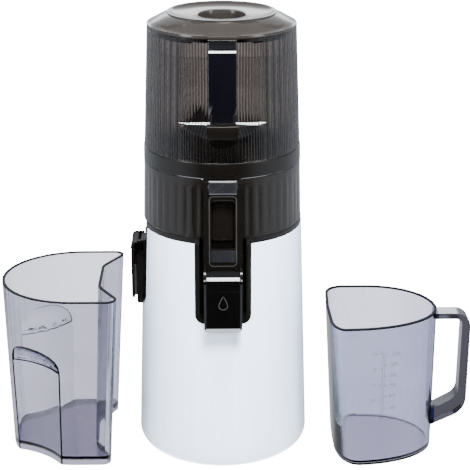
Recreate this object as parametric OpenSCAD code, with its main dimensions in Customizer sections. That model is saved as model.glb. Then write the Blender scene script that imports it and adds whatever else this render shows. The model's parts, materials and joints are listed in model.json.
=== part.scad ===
// Vertical slow juicer with its pulp container and juice jug.
// The origin is on the table at the juicer's turning axis; the juice spout faces -Y.

/* [Overall] */
// Height of the juicer from the table to the ridge of the lid
total_h = 440; // [430:1:450]
// Outer radius of the white base at its foot
base_r = 84.3; // [83.5:0.1:86]
// Outer radius of the white base at its top edge
base_top_r = 77; // [76.8:0.1:77.5]
// Height of the white base's top edge above the table
base_top_z = 235; // [235:0.1:235.4]
// Wall thickness of the base shell
base_wall = 3; // [2.5:0.1:3.5]

/* [Spouts] */
// Width of the notches in the base that the two spouts drop into
notch_w = 53.2; // [52:0.2:56]
// Height of the bottom of the notches above the table
notch_z = 156.5; // [154:0.5:158]
// Thickness of the black trim round the notches
trim_t = 4.6; // [4:0.1:5]
// Width of the juice column with its cap
column_w = 35.6; // [34:0.2:36]
// Distance of the column's front face from the axis
column_y = 84; // [83.5:0.1:84.5]

/* [Drum and hopper] */
// Outer radius of the drum where it sits on the base
drum_r = 76.3; // [76:0.1:76.5]
// Height of the joint between drum and hopper
drum_top_z = 298; // [297.5:0.1:298.2]
// Outer radius of the drum at that joint
drum_top_r = 74.9; // [74.5:0.1:75.2]
// Height of the dark ring at the foot of the hopper
ring_h = 15; // [14:0.5:16]
// Outer radius of the hopper under the lid
hopper_top_r = 70.2; // [69.8:0.1:70.5]
// Height of the joint between hopper and lid
lid_z = 426.5; // [426:0.1:427]
// Wall thickness of the clear parts
clear_wall = 2.5; // [2.2:0.1:2.8]
// Distance of the flat front panel of the hopper from the axis
flat_y = 61.5; // [61:0.1:62]
// Radius of the small feed hole in the lid
feed_r = 22.3; // [21:0.1:23]

/* [Drive] */
// Size of the gear teeth, pitch diameter over number of teeth
gear_module = 1; // [1:0.01:1.02]
// Teeth on the small gears
pinion_teeth = 12; // [12:1:12]
// Teeth on the large gears
wheel_teeth = 60; // [60:1:60]
// Radial clearance of every turning pin in its hole
running_gap = 0.05; // [0.02:0.01:0.08]

/* [Containers] */
// Height of the pulp container
bin_h = 175; // [170:1:178]
// Place of the pulp container's middle along X
bin_x = -143; // [-150:1:-143]
// Height of the juice jug
jug_h = 148; // [144:1:152]
// Place of the jug's flat side along X
jug_x = 104; // [104:1:110]
// Wall thickness of both containers
bin_wall = 2.6; // [2.4:0.1:3]

/* [Hidden] */
$fn = 96;
eps = 0.5;
foot_h = 4;
foot_ring_r = 57.5;
foot_turn = -4;
cover_screw_r = 62;
cover_screw_hole_r = 1.9;
frame_screw_r = 60;
base_fillet = 13;
base_low_z = base_fillet + foot_h + 1;
collar_h = total_h - 435;
collar_z = base_top_z + collar_h;
well_r = 66;
well_wall = 2.5;
deck_z = 147;
deck_t = 3;
drum_z = collar_z + 0.2;
bowl_r = 62;
bowl_z = 153;
bowl_floor = 3;
nose_w = 31;
nose_wall = 3;
nose_top_z = 205;
hopper_z = drum_top_z + 0.3 + ring_h;
ledge_z = 348.7;
ledge_slope = 1.07;
recess_top_z = lid_z - 3;
lever_w = 24.8;
ridge_r = 49.8;
ear_t = 2;
gear_centre = gear_module * (pinion_teeth + wheel_teeth) / 2;
first_gear_z = 98;
second_gear_z = 108;
gear_t = 6;
tray_z = 88;
tray_r = 72;
tray_t = 3;
lug_top_z = tray_z + tray_t + 4;
cover_top_z = 124;
shaft_r = 6;
hex_flats = 12;
hex_top_z = 172;
auger_z = 160;
switch_z = 63;
gland_z = 26;
motor_z = 20;
motor_top_z = 88;
motor_r = 42;
rotor_shaft_r = 5;
cap_pin_z = 209;
cap_pin_y = 90;
flap_pin_z = 212.5;
flap_pin_y = 84.8;
plunger_r = 70.4;
plunger_turn = 243;
rod_r = 1.6;
rod_low_z = 229.2;
drum_hole_r = 12;
hinge_y = 76.5;
hinge_z = 425.5;
lever_pin_z = 354;
lever_pin_y = 68.5;
latch_pin_z = 293;
latch_pin_y = 82;
bin_half_y = 71.5;
bin_mid_y = 3;
bin_flare = [0.88, 0.94];
bin_flare_x = -185;
jug_mid_y = -16;

// Outer radius of the white base at a height
function base_radius(z) =
  base_r - (z - base_low_z) * (base_r - base_top_r) / (base_top_z - base_low_z);

// Outer radius of the hopper at a height
function hopper_radius(z) =
  drum_top_r - (z - drum_top_z) * (drum_top_r - hopper_top_r) / (lid_z - drum_top_z);

// Points of an arc about a centre, from one angle to another
function arc(centre, r, from, to, steps = 8) =
  [for (i = [0:steps]) let(a = from + (to - from) * i / steps)
    [centre[0] + r * cos(a), centre[1] + r * sin(a)]];

// Points of a quarter of an ellipse or more
function oval(centre, a, b, from, to, steps = 12) =
  [for (i = [0:steps]) let(t = from + (to - from) * i / steps)
    [centre[0] + a * cos(t), centre[1] + b * sin(t)]];

// Outline of a spur gear with trapezium teeth
function gear_points(teeth) =
  let(pitch = 360 / teeth,
    tip = gear_module * (teeth / 2 + 0.8),
    root = gear_module * (teeth / 2 - 1.15))
  [for (i = [0:teeth - 1]) for (p = [[root, -0.28], [tip, -0.11], [tip, 0.11], [root, 0.28]])
    [p[0] * cos(pitch * (i + p[1])), p[0] * sin(pitch * (i + p[1]))]];

// A ring about the axis
module ring(r_out, r_in, z, h) {
  translate([0, 0, z])
    difference() {
      cylinder(r = r_out, h = h);
      translate([0, 0, -eps]) cylinder(r = r_in, h = h + 2 * eps);
    }
}

// A solid lying along X, centred on X = 0
module bar_x(r, length, y, z) {
  translate([-length / 2, y, z]) rotate([0, 90, 0]) cylinder(r = r, h = length);
}

// A block given by its two corners
module block(low, high) {
  translate(low) cube(high - low);
}

// Places its children on the four points of a circle
module at_four(r, turn = 0) {
  for (a = [0:90:270])
    rotate([0, 0, a + turn]) translate([r, 0, 0]) children();
}

// A rectangle with its two lower corners rounded
module round_foot_square(w, h, r) {
  translate([-w / 2, r]) square([w, h - r]);
  translate([-w / 2 + r, 0]) square([w - 2 * r, h / 2]);
  for (s = [-1, 1])
    translate([s * (w / 2 - r), r]) circle(r = r);
}

// The same rectangle as a slot that runs from the axis out through the front
module front_slot(w, z, r, reach = 100) {
  translate([0, 0, z])
    rotate([90, 0, 0])
      linear_extrude(height = reach) round_foot_square(w, base_top_z + 40 - z, r);
}

// Room below a notch for the nose of the drum
module nose_slot() {
  block([-nose_w / 2 - 0.6, -base_r, bowl_z - 0.6], [nose_w / 2 + 0.6, -bowl_r - 1, notch_z + 9]);
}

// Places its children at the interlock plunger
module at_plunger() {
  rotate([0, 0, plunger_turn]) translate([plunger_r, 0, 0]) children();
}

// Places its children at the front and again at the pulp side
module both_spouts() {
  children();
  pulp_side() children();
}

// Turns its children from the front to the pulp side
module pulp_side() {
  rotate([0, 0, -90]) children();
}

// Two ears beside a cap, for the pin that it hangs from
module hinge_ears(pin_y, pin_z, r, back_y) {
  for (s = [-1, 1])
    translate([s * (column_w / 2 - ear_t / 2), 0, 0])
      union() {
        bar_x(r, ear_t, -pin_y, pin_z);
        block([-ear_t / 2, -pin_y, pin_z - r], [ear_t / 2, -back_y, pin_z + r]);
      }
}

// Solid of revolution of the white base, to an inset from its outer face
module base_form(inset, low_z, high_z) {
  fillet = base_fillet - inset;
  rotate_extrude()
    polygon(concat(
      [[0, low_z]],
      arc([base_r - base_fillet, foot_h + base_fillet], fillet, -90, 0),
      [[base_radius(high_z) - inset, high_z], [0, high_z]]));
}

module base_housing() {
  color("#e9edf1") {
    at_four(cover_screw_r, 45)
      difference() {
        union() {
          translate([0, 0, foot_h + 3.8]) cylinder(r = 5, h = 30);
          block([0, -1.2, foot_h + 8], [base_r - 2 - cover_screw_r, 1.2, foot_h + 30]);
        }
        cylinder(r = cover_screw_hole_r, h = 30);
      }
    difference() {
      base_form(0, foot_h, base_top_z);
      base_form(base_wall, foot_h + base_wall, base_top_z + eps);
      translate([0, 0, foot_h - eps]) cylinder(r = base_r - base_fillet - 3, h = 6);
      both_spouts() front_slot(notch_w, notch_z, 8);
      both_spouts() nose_slot();
      block([-14, 70, switch_z - 13], [14, 90, switch_z + 13]);
      translate([0, 70, gland_z]) rotate([-90, 0, 0]) cylinder(r = 9, h = 20);
    }
  }
}

module drum_seat_collar() {
  color("#1b1a18") {
    difference() {
      union() {
        ring(base_top_r - 0.3, well_r, base_top_z + 0.1, collar_h - 0.1);
        ring(well_r + well_wall, well_r, deck_z, base_top_z - deck_z + 1);
        both_spouts()
          intersection() {
            difference() {
              front_slot(notch_w - 0.5, notch_z + 0.3, 7.8);
              front_slot(notch_w - 2 * trim_t, notch_z + trim_t, 5);
            }
            rotate_extrude()
              polygon([[well_r, deck_z], [base_radius(deck_z) + 0.4, deck_z],
                [base_radius(base_top_z) + 0.4, base_top_z + 0.1], [well_r, base_top_z + 0.1]]);
          }
      }
      both_spouts() front_slot(notch_w - 2 * trim_t, notch_z + trim_t, 5);
      both_spouts() nose_slot();
      at_plunger() translate([0, 0, 200]) cylinder(r = rod_r + 0.2, h = 60);
    }
    ring(well_r + 1, 13, deck_z, deck_t);
    at_four(frame_screw_r, 45)
      difference() {
        translate([0, 0, lug_top_z + 0.1]) cylinder(r = 5, h = deck_z - lug_top_z);
        translate([0, 0, lug_top_z - 1]) cylinder(r = 2, h = 24);
      }
  }
}

module bottom_cover() {
  color("#3a3c3e")
    difference() {
      union() {
        ring(base_r - base_fillet - 3.4, 0.01, foot_h + 0.5, 3);
        at_four(motor_r - 6, 0)
          translate([0, 0, foot_h + 3]) cylinder(r = 5, h = motor_z - foot_h - 3);
      }
      at_four(cover_screw_r, 45) cylinder(r = cover_screw_hole_r, h = 20);
      for (a = [-24:12:24])
        at_four(50, 45 + a) block([-4, -1.5, 0], [4, 1.5, 10]);
      translate([0, 0, foot_h - 1]) cylinder(r = 5, h = 3);
      at_four(foot_ring_r, foot_turn) translate([0, 0, foot_h - 1]) cylinder(r = 5, h = 3);
    }
}

module rubber_foot() {
  cylinder(r = 10, h = foot_h + 0.4);
  cylinder(r = 4.9, h = foot_h + 1.9);
}

module rubber_feet() {
  color("#b9bbbd") {
    rubber_foot();
    at_four(foot_ring_r, foot_turn) rubber_foot();
  }
}

// A round-headed screw standing on its head, with a cross slot
module screw(r, length, head_r) {
  difference() {
    union() {
      cylinder(r = head_r, h = 1.6);
      cylinder(r = r, h = length);
    }
    for (a = [0, 90])
      rotate([0, 0, a]) block([-head_r * 0.6, -0.35, -1], [head_r * 0.6, 0.35, 0.8]);
  }
}

module cover_screws() {
  color("#9a9da0")
    at_four(cover_screw_r, 45) translate([0, 0, foot_h - 1.2]) screw(1.8, 10, 3.6);
}

module motor_can() {
  color("#7f8386") {
    difference() {
      ring(motor_r, motor_r - 2, motor_z, motor_top_z - motor_z);
      for (a = [15:30:345])
        rotate([0, 0, a]) block([motor_r - 5, -3, motor_z + 12], [motor_r + 5, 3, motor_z + 24]);
    }
    ring(motor_r - 1, rotor_shaft_r + running_gap, motor_top_z - 3, 3);
    ring(motor_r - 1, rotor_shaft_r + running_gap, motor_z, 2.5);
    ring(motor_r - 1.9, 27, motor_z + 28, 26);
  }
}

module motor_rotor() {
  color("#a8a39a") {
    translate([0, 0, motor_z + 0.4]) cylinder(r = rotor_shaft_r, h = first_gear_z - motor_z);
    translate([0, 0, motor_z + 27]) cylinder(r = 26.4, h = 28);
    translate([0, 0, first_gear_z - 0.5])
      linear_extrude(height = gear_t + 1) polygon(gear_points(pinion_teeth));
  }
}

module cooling_fan() {
  color("#2b2d30") {
    ring(9, rotor_shaft_r, motor_z + 8, 8);
    for (a = [0:40:320])
      rotate([0, 0, a]) translate([8.5, 0, motor_z + 8])
        rotate([28, 0, 0]) block([0, -1, 0], [28, 1, 8]);
  }
}

module gearbox_tray() {
  color("#8c9094")
    difference() {
      union() {
        ring(tray_r, 8, tray_z, tray_t);
        translate([gear_centre, 0, tray_z]) cylinder(r = 8, h = first_gear_z - 2 - tray_z);
      }
      translate([gear_centre, 0, tray_z + 1]) cylinder(r = 3, h = 20);
      at_four(frame_screw_r, 45) translate([0, 0, tray_z - eps]) cylinder(r = 2.2, h = tray_t + 2 * eps);
    }
}

module cover_outline(grow) {
  circle(r = 40 + grow);
  translate([gear_centre, 0]) circle(r = 34.4 + grow);
}

module gearbox_cover() {
  color("#989ca0") {
    difference() {
      translate([0, 0, tray_z + tray_t + 0.1])
        linear_extrude(height = cover_top_z - tray_z - tray_t - 0.1) cover_outline(0);
      translate([0, 0, tray_z])
        linear_extrude(height = cover_top_z - tray_z - 4) cover_outline(-2.5);
      cylinder(r = 9.5, h = cover_top_z + eps);
      translate([gear_centre, 0, 0]) cylinder(r = 3 + 0.02, h = cover_top_z - 1);
    }
    for (a = [45:90:315])
      difference() {
        rotate([0, 0, a]) block([36, -4.5, tray_z + tray_t + 0.1], [frame_screw_r + 5, 4.5, lug_top_z]);
        rotate([0, 0, a]) translate([frame_screw_r, 0, 0]) cylinder(r = 2.2, h = 200);
        translate([0, 0, tray_z]) linear_extrude(height = 20) cover_outline(-2.4);
      }
  }
}

module gearbox_screws() {
  color("#b5b8ba")
    at_four(frame_screw_r, 45) translate([0, 0, tray_z - 1.7]) screw(2, 26, 4);
}

module intermediate_gear() {
  color("#e6e1d2")
    translate([gear_centre, 0, 0])
      difference() {
        union() {
          translate([0, 0, first_gear_z])
            linear_extrude(height = gear_t)
              rotate([0, 0, 180 + 180 / wheel_teeth]) polygon(gear_points(wheel_teeth));
          translate([0, 0, first_gear_z + gear_t])
            linear_extrude(height = second_gear_z + gear_t + 1 - first_gear_z - gear_t)
              polygon(gear_points(pinion_teeth));
        }
        cylinder(r = 3 + running_gap, h = 200);
      }
}

module intermediate_axle() {
  color("#c9ccce")
    translate([gear_centre, 0, tray_z + 1]) cylinder(r = 3, h = cover_top_z - 3 - tray_z);
}

module output_gear() {
  color("#ded8c6")
    difference() {
      translate([0, 0, second_gear_z])
        linear_extrude(height = gear_t)
          rotate([0, 0, 180 / wheel_teeth]) polygon(gear_points(wheel_teeth));
      cylinder(r = shaft_r, h = 200);
      for (a = [0:60:300])
        rotate([0, 0, a]) translate([18, 0, 0]) cylinder(r = 5, h = 200);
    }
}

module drive_shaft() {
  color("#cfd2d4") {
    translate([0, 0, second_gear_z - 2]) cylinder(r = shaft_r, h = deck_z + deck_t + 2 - second_gear_z + 2);
    translate([0, 0, deck_z + deck_t])
      cylinder(r = hex_flats / 2 / cos(30), h = hex_top_z - deck_z - deck_t, $fn = 6);
  }
}

module drive_bush() {
  color("#b8894a") ring(9.5, shaft_r + running_gap, cover_top_z - 9, 12);
}

module deck_seal() {
  color("#55585c") {
    ring(13, 9, deck_z - 1, deck_t + 1);
    ring(12, shaft_r + running_gap, deck_z - 3, 2.4);
  }
}

module control_board() {
  color("#2f6b46") {
    block([-26, 56, 30], [26, 57.6, 82]);
    block([-20, 57.6, 40], [-8, 66, 52]);
    block([2, 57.6, 60], [20, 64, 72]);
    translate([10, 57.6, 44]) rotate([-90, 0, 0]) cylinder(r = 6, h = 10);
  }
}

module switch_bezel() {
  color("#222324")
    difference() {
      union() {
        block([-13.8, 72, switch_z - 12.8], [13.8, 84.5, switch_z + 12.8]);
        difference() {
          block([-16, 78, switch_z - 15], [16, 84.5, switch_z + 15]);
          base_form(-0.1, foot_h, base_top_z);
        }
      }
      block([-9, 68, switch_z - 9], [9, 90, switch_z + 9]);
    }
}

module rocker_switch() {
  color("#30353b")
    difference() {
      union() {
        bar_x(8.2, 17.2, 77, switch_z);
        block([-8.6, 77, switch_z - 6], [8.6, 83.5, switch_z + 6]);
      }
      bar_x(40, 20, 122.9, switch_z);
    }
}

module cord_gland() {
  color("#1f2022")
    difference() {
      union() {
        translate([0, 74, gland_z]) rotate([-90, 0, 0]) cylinder(r = 8.8, h = 12);
        translate([0, 84.2, gland_z]) rotate([-90, 0, 0]) cylinder(r = 11, h = 2.6);
        translate([0, 72, gland_z]) rotate([-90, 0, 0]) cylinder(r = 11.5, h = 4);
      }
      translate([0, 60, gland_z]) rotate([-90, 0, 0]) cylinder(r = 3.6, h = 40);
    }
}

module interlock_switch() {
  color("#8a2f2a") {
    at_plunger() block([-1.5, -4.5, rod_low_z - 14.2], [1.9, 4.5, rod_low_z - 2.8]);
  }
}

// Outer form of the drum's wide upper part, to an inset from its face
module drum_skirt(inset, z, h) {
  translate([0, 0, z])
    cylinder(r1 = drum_r - inset - (z - drum_z) * (drum_r - drum_top_r) / (drum_top_z - drum_z),
      r2 = drum_r - inset - (z + h - drum_z) * (drum_r - drum_top_r) / (drum_top_z - drum_z), h = h);
}

module drum() {
  color("#3b3735")
    difference() {
      union() {
        drum_skirt(0, drum_z, drum_top_z - drum_z);
        translate([0, 0, bowl_z]) cylinder(r = bowl_r, h = drum_z + 1 - bowl_z);
        both_spouts() block([-nose_w / 2, -column_y, bowl_z], [nose_w / 2, -40, nose_top_z]);
        pulp_side() {
          block([-column_w / 2, -flap_pin_y + 5, nose_top_z - 1], [column_w / 2, -60, 222]);
          hinge_ears(flap_pin_y, flap_pin_z, 4.5, flap_pin_y - 6);
        }
      }
      drum_skirt(clear_wall, drum_z + clear_wall, drum_top_z - drum_z);
      translate([0, 0, bowl_z + bowl_floor]) cylinder(r = bowl_r - clear_wall, h = 100);
      both_spouts()
        block([-nose_w / 2 + nose_wall, -column_y + nose_wall, bowl_z + bowl_floor],
          [nose_w / 2 - nose_wall, -50, nose_top_z - nose_wall - 12]);
      block([-9, -column_y - 1, 163], [9, -60, 181]);
      pulp_side() block([-9, -column_y - 1, 163], [9, -60, 189]);
      pulp_side() bar_x(1.5, column_w + 2, -flap_pin_y, flap_pin_z);
      translate([0, 0, bowl_z - 1]) cylinder(r = drum_hole_r, h = 10);
      at_plunger() translate([0, 0, drum_z - 1]) cylinder(r = rod_r + running_gap, h = 10);
    }
}

module juice_column() {
  color("#15141a")
    difference() {
      union() {
        block([-column_w / 2, -column_y, 218], [column_w / 2, -70, drum_top_z]);
        block([-column_w / 2 + 1, -column_y + 3, nose_top_z + 0.2], [column_w / 2 - 1, -66.6, 220]);
        block([-column_w / 2, -column_y, nose_top_z + 0.2], [column_w / 2, -column_y + 4, 219]);
        hinge_ears(cap_pin_y, cap_pin_z, 5.5, column_y - 1);
      }
      bar_x(1.5, column_w + 2, -cap_pin_y, cap_pin_z);
      drum_skirt(-0.05, drum_z, drum_top_z - drum_z);
      translate([0, 0, 200]) cylinder(r = bowl_r + 0.2, h = drum_z - 200);
      translate([0, 0, drum_z - 30]) cylinder(r = 72.5, h = 30.05);
      translate([-11, -column_y - 1, 231]) cube([22, 12, 46]);
      translate([-7, -column_y - 1, 231]) cube([14, 12, 50]);
      for (s = [-1, 1])
        translate([s * 7, -column_y - 1, 277]) rotate([-90, 0, 0]) cylinder(r = 4, h = 12);
      translate([0, -column_y + 11, 231]) rotate([0, -90, 180]) linear_extrude(height = 22, center = true)
        polygon([[-5, 12], [0.01, -1], [0.01, 12]]);
      block([-13.6, -column_y - 1, 285.5], [13.6, -column_y + 5.4, drum_top_z + 1]);
      bar_x(1.6, 33, -latch_pin_y, latch_pin_z);
    }
}

module drum_seal() {
  color("#6f7276") {
    ring(drum_hole_r, 9.6, bowl_z - 1, 4);
    ring(drum_hole_r + 2, 9.6, bowl_z + bowl_floor, 1.2);
  }
}

module strainer() {
  color("#8f8d88")
    difference() {
      union() {
        translate([0, 0, 158]) cylinder(r1 = 47, r2 = 53, h = 124);
        ring(59.3, 40, 156.1, 3);
        ring(58, 50, 279, 4);
      }
      translate([0, 0, 155]) cylinder(r1 = 45.2, r2 = 51.7, h = 133);
      for (a = [0:12:348])
        rotate([0, 0, a + 6]) {
          block([40, -0.6, 176], [60, 0.6, 216]);
          block([40, -0.6, 224], [60, 0.6, 268]);
        }
    }
}

// A helical screw flight of square section, swept in steps of 15 degrees
module flight(r_in, r, thick, z, h, turns, start) {
  steps = ceil(24 * turns);
  points = [for (i = [0:steps]) let(a = start - 360 * turns * i / steps, rise = z + h * i / steps)
    for (p = [[r_in, -thick / 2], [r, -thick / 2], [r, thick / 2], [r_in, thick / 2]])
      [p[0] * cos(a), p[0] * sin(a), rise + p[1]]];
  sides = [for (i = [0:steps - 1]) for (k = [0:3]) let(a = 4 * i + k, b = 4 * i + (k + 1) % 4)
    for (f = [[a, a + 4, b], [b, a + 4, b + 4]]) f];
  ends = [[0, 1, 2, 3], [4 * steps + 3, 4 * steps + 2, 4 * steps + 1, 4 * steps]];
  polyhedron(points = points, faces = concat(ends, sides), convexity = 6);
}

module auger() {
  color("#26211f") {
    difference() {
      union() {
        translate([0, 0, auger_z]) cylinder(r1 = 24, r2 = 17, h = 120);
        translate([0, 0, auger_z + 120]) cylinder(r1 = 17, r2 = 9, h = 56);
        ring(40, 12, auger_z, 5);
      }
      translate([0, 0, auger_z - 1]) cylinder(r = 10.02, h = 31);
    }
    for (k = [0, 1])
      flight(12, 43.5, 5, 176, 112, 1.5, 180 * k);
    cutting_wing();
  }
}

// The tall slicing fin that stands up into the hopper
module cutting_wing() {
  rotate([0, 0, 205])
    translate([0, 3, 0])
      rotate([90, 0, 0])
        linear_extrude(height = 6)
          polygon([[0, 300], [38, 300], [42, 318], [35, 336], [24, 351], [14, 338], [0, 330]]);
}

module auger_socket() {
  color("#c4c7c9")
    difference() {
      union() {
        translate([0, 0, bowl_z + bowl_floor]) cylinder(r = 9.4, h = 5);
        translate([0, 0, auger_z]) cylinder(r = 10, h = 30);
      }
      translate([0, 0, 150]) cylinder(r = hex_flats / 2 / cos(30) + 0.15, h = hex_top_z - 148.5, $fn = 6);
    }
}

// Side outline of a cap that hangs from its pin, with a bevelled head, in Y and Z
module cap_side(pin_y, pin_z, back, front, low_z) {
  polygon(concat([[-back, low_z]], arc([-front + 3.5, low_z + 3.5], 3.5, 270, 180, 4),
    [[-front, pin_z - 3], [-pin_y - 1.5, pin_z + 5.1], [-pin_y + 2, pin_z + 5.2],
      [-pin_y + 4.6, pin_z + 2], [-pin_y + 4.6, pin_z - 4], [-back, pin_z - 6.5]]));
}

module juice_cap() {
  color("#0e0e10")
    difference() {
      intersection() {
        rotate([90, 0, 90])
          linear_extrude(height = column_w, center = true)
            cap_side(cap_pin_y, cap_pin_z, column_y + 2.9, column_y + 12, 152.5);
        translate([0, 0, 152.5])
          rotate([90, 0, 0])
            linear_extrude(height = 120)
              union() {
                round_foot_square(column_w, cap_pin_z - 6.5 - 152.5, 6);
                translate([-column_w / 2 + ear_t + 0.3, 40]) square([column_w - 2 * ear_t - 0.6, 30]);
              }
      }
      bar_x(1.5 + running_gap, column_w + 2, -cap_pin_y, cap_pin_z);
    }
}

module cap_pin() {
  color("#b9bcbf") bar_x(1.5, column_w, -cap_pin_y, cap_pin_z);
}

module cap_seal() {
  color("#4b4e52")
    translate([0, -column_y - 0.2, 172])
      rotate([90, 0, 0])
        difference() {
          cylinder(r = 13.4, h = 2.6);
          translate([0, 0, 1.6]) cylinder(r = 9, h = 2);
        }
}

module pulp_flap() {
  inner_w = column_w - 2 * ear_t - 0.6;
  color("#141312")
    pulp_side()
      difference() {
        union() {
          bar_x(4.2, inner_w, -flap_pin_y, flap_pin_z);
          block([-inner_w / 2, -flap_pin_y - 4.2, flap_pin_z - 8], [inner_w / 2, -flap_pin_y - 1.4, flap_pin_z]);
          translate([0, -flap_pin_y - 1.4, 158])
            rotate([90, 0, 0])
              linear_extrude(height = 2.8) round_foot_square(column_w, flap_pin_z - 6 - 158, 6);
        }
        bar_x(1.5 + running_gap, column_w, -flap_pin_y, flap_pin_z);
      }
}

module flap_pin() {
  color("#b9bcbf")
    pulp_side() bar_x(1.5, column_w, -flap_pin_y, flap_pin_z);
}

module flap_seal() {
  color("#4b4e52")
    pulp_side() block([-12, -flap_pin_y - 1.4, 160.5], [12, -column_y - 0.2, 192]);
}

module drum_latch() {
  color("#1d1c22")
    difference() {
      union() {
        block([-13, -column_y - 1.6, 286.5], [13, -column_y + 1, 299.8]);
        bar_x(3, 26, -latch_pin_y, latch_pin_z);
      }
      bar_x(1.5 + running_gap, 40, -latch_pin_y, latch_pin_z);
      block([-0.5, -column_y - 2.5, 290], [0.5, -column_y - 1.1, 296]);
    }
}

module latch_pin() {
  color("#b9bcbf") bar_x(1.5, 32.6, -latch_pin_y, latch_pin_z);
}

module interlock_plunger() {
  color("#d7d9db")
    at_plunger() {
      translate([0, 0, rod_low_z]) cylinder(r = rod_r, h = drum_top_z - 8.4 - rod_low_z);
      translate([0, 0, 262]) cylinder(r = rod_r + 0.9, h = 1.5);
    }
}

module plunger_spring() {
  color("#a9acae")
    for (k = [0:7])
      at_plunger()
        translate([0, 0, drum_z + clear_wall + 0.5 + 2.55 * k])
          rotate_extrude() translate([rod_r + 0.7, 0]) circle(r = 0.35, $fn = 16);
}

module hopper_seal() {
  color("#7b7f83") ring(72.25, 71.05, 292.5, 3);
}

module hopper_ring() {
  color("#201f1c")
    difference() {
      union() {
        translate([0, 0, drum_top_z + 0.3])
          cylinder(r1 = drum_top_r + 0.3, r2 = hopper_radius(hopper_z) + 0.7, h = ring_h - 0.1);
        ring(71, 67, 290, drum_top_z - 289);
      }
      translate([0, 0, 289]) cylinder(r = 67, h = 60);
    }
}

module throat_funnel() {
  color("#2c2926")
    difference() {
      translate([0, 0, 299]) cylinder(r = 66.9, h = 15);
      translate([0, 0, 299 - eps]) cylinder(r = 55, h = 6);
      translate([0, 0, 304]) cylinder(r1 = 55, r2 = 64.5, h = 10.1);
    }
}

// The space in front of the hopper's flat panel and above its sloping ledge, grown by a wall
module front_recess(grow, top_z) {
  drop = grow * sqrt(1 + ledge_slope * ledge_slope);
  depth = 30;
  translate([-60, 0, 0])
    rotate([90, 0, 90])
      linear_extrude(height = 120)
        polygon([[-flat_y + grow, ledge_z + grow * ledge_slope - drop],
          [-flat_y - depth, ledge_z - depth * ledge_slope - drop],
          [-flat_y - depth, top_z], [-flat_y + grow, top_z]]);
}

module hopper_cone(inset, low_z, high_z) {
  translate([0, 0, low_z])
    cylinder(r1 = hopper_radius(low_z) - inset, r2 = hopper_radius(high_z) - inset, h = high_z - low_z);
}

module hopper() {
  color("#5a524e") {
    difference() {
      hopper_cone(0, hopper_z, lid_z);
      front_recess(0, recess_top_z);
      block([-lever_w / 2 - 1, -80, recess_top_z - 2], [lever_w / 2 + 1, -flat_y - 1.5, lid_z + 2]);
      difference() {
        hopper_cone(clear_wall, hopper_z - eps, lid_z + eps);
        front_recess(clear_wall, lid_z + 1);
      }
    }
    for (s = [-1, 1])
      difference() {
        union() {
          block([s * 17 - 5, 66, 414], [s * 17 + 5, hinge_y, 422]);
          block([s * 17 - 5, 68, 418], [s * 17 + 5, hinge_y + 4, hinge_z]);
          translate([s * 17 - 5, hinge_y, hinge_z]) rotate([0, 90, 0]) cylinder(r = 4, h = 10);
        }
        hopper_cone(1, hopper_z, lid_z + 10);
        bar_x(2, 60, hinge_y, hinge_z);
      }
  }
}

module rod_channel() {
  color("#141416")
    intersection() {
      block([-18, -73, hopper_z + 1], [18, -64, 335]);
      hopper_cone(clear_wall + 0.1, hopper_z, 340);
    }
}

module lid_lever() {
  color("#0c0c12")
    difference() {
      union() {
        block([-lever_w / 2, -72.6, lever_pin_z + 4.6], [lever_w / 2, -67.6, 416]);
        block([-9.6, -72.6, lever_pin_z - 3.8], [9.6, -67.6, lever_pin_z + 4.6]);
        block([-lever_w / 2, -68.6, 414], [lever_w / 2, -64.6, lid_z - 1.3]);
        bar_x(3.4, 19.2, -lever_pin_y, lever_pin_z);
      }
      bar_x(1.5 + running_gap, 40, -lever_pin_y, lever_pin_z);
    }
}

module lever_pin() {
  color("#b9bcbf") bar_x(1.5, lever_w, -lever_pin_y, lever_pin_z);
}

module lever_bracket() {
  color("#34323a")
    difference() {
      intersection() {
        union() {
          block([-14.2, -74.2, 335.8], [14.2, -flat_y - 0.1, 347.6]);
          for (s = [-1, 1])
            block([s * 11.2 - 1.2, -71.5, 346], [s * 11.2 + 1.2, -flat_y - 0.1, lever_pin_z + 3.6]);
        }
        front_recess(-0.15, recess_top_z);
      }
      bar_x(1.5, 40, -lever_pin_y, lever_pin_z);
    }
}

module lid() {
  color("#4d4845") {
    difference() {
      rotate_extrude()
        polygon(concat(
          [[feed_r, 437], [38, 437.4]],
          arc([ridge_r - 1.2, total_h - 1.2], 1.2, 100, 55, 3),
          arc([hopper_top_r - 2.6, lid_z + 2.8], 2.6, 55, 0, 4),
          [[hopper_top_r, lid_z + 0.3], [66.9, lid_z + 0.3], [66.9, lid_z - 5], [64.6, lid_z - 5],
            [64.6, lid_z + 1.6], [50, total_h - 4], [38, total_h - 5.2], [feed_r + 2.5, total_h - 5.4],
            [feed_r + 2.2, 424], [feed_r - 2.4, 424], [feed_r - 2.4, 426.4], [feed_r, 426.4]]));
      block([-80, -80, lid_z - 8], [80, -flat_y + clear_wall + 0.4, lid_z + 0.3]);
    }
    block([-lever_w / 2 - 0.9, -hopper_top_r - 2.2, lid_z - 0.4],
      [lever_w / 2 + 0.9, -hopper_top_r + 1, lid_z + 3.2]);
    difference() {
      union() {
        block([-11.7, 66, lid_z + 0.4], [11.7, hinge_y, lid_z + 3]);
        bar_x(3.6, 23.4, hinge_y, hinge_z);
      }
      bar_x(2 + running_gap, 30, hinge_y, hinge_z);
      translate([0, 0, lid_z - 20]) cylinder(r = hopper_top_r - 1, h = 40);
    }
  }
}

module lid_seal() {
  color("#8b8f92")
    difference() {
      ring(67.5, 66.9, lid_z - 4, 2);
      block([-80, -80, 400], [80, -flat_y + clear_wall + 0.4, 450]);
    }
}

module lid_hinge_pin() {
  color("#b9bcbf") bar_x(2, 44, hinge_y, hinge_z);
}

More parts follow.
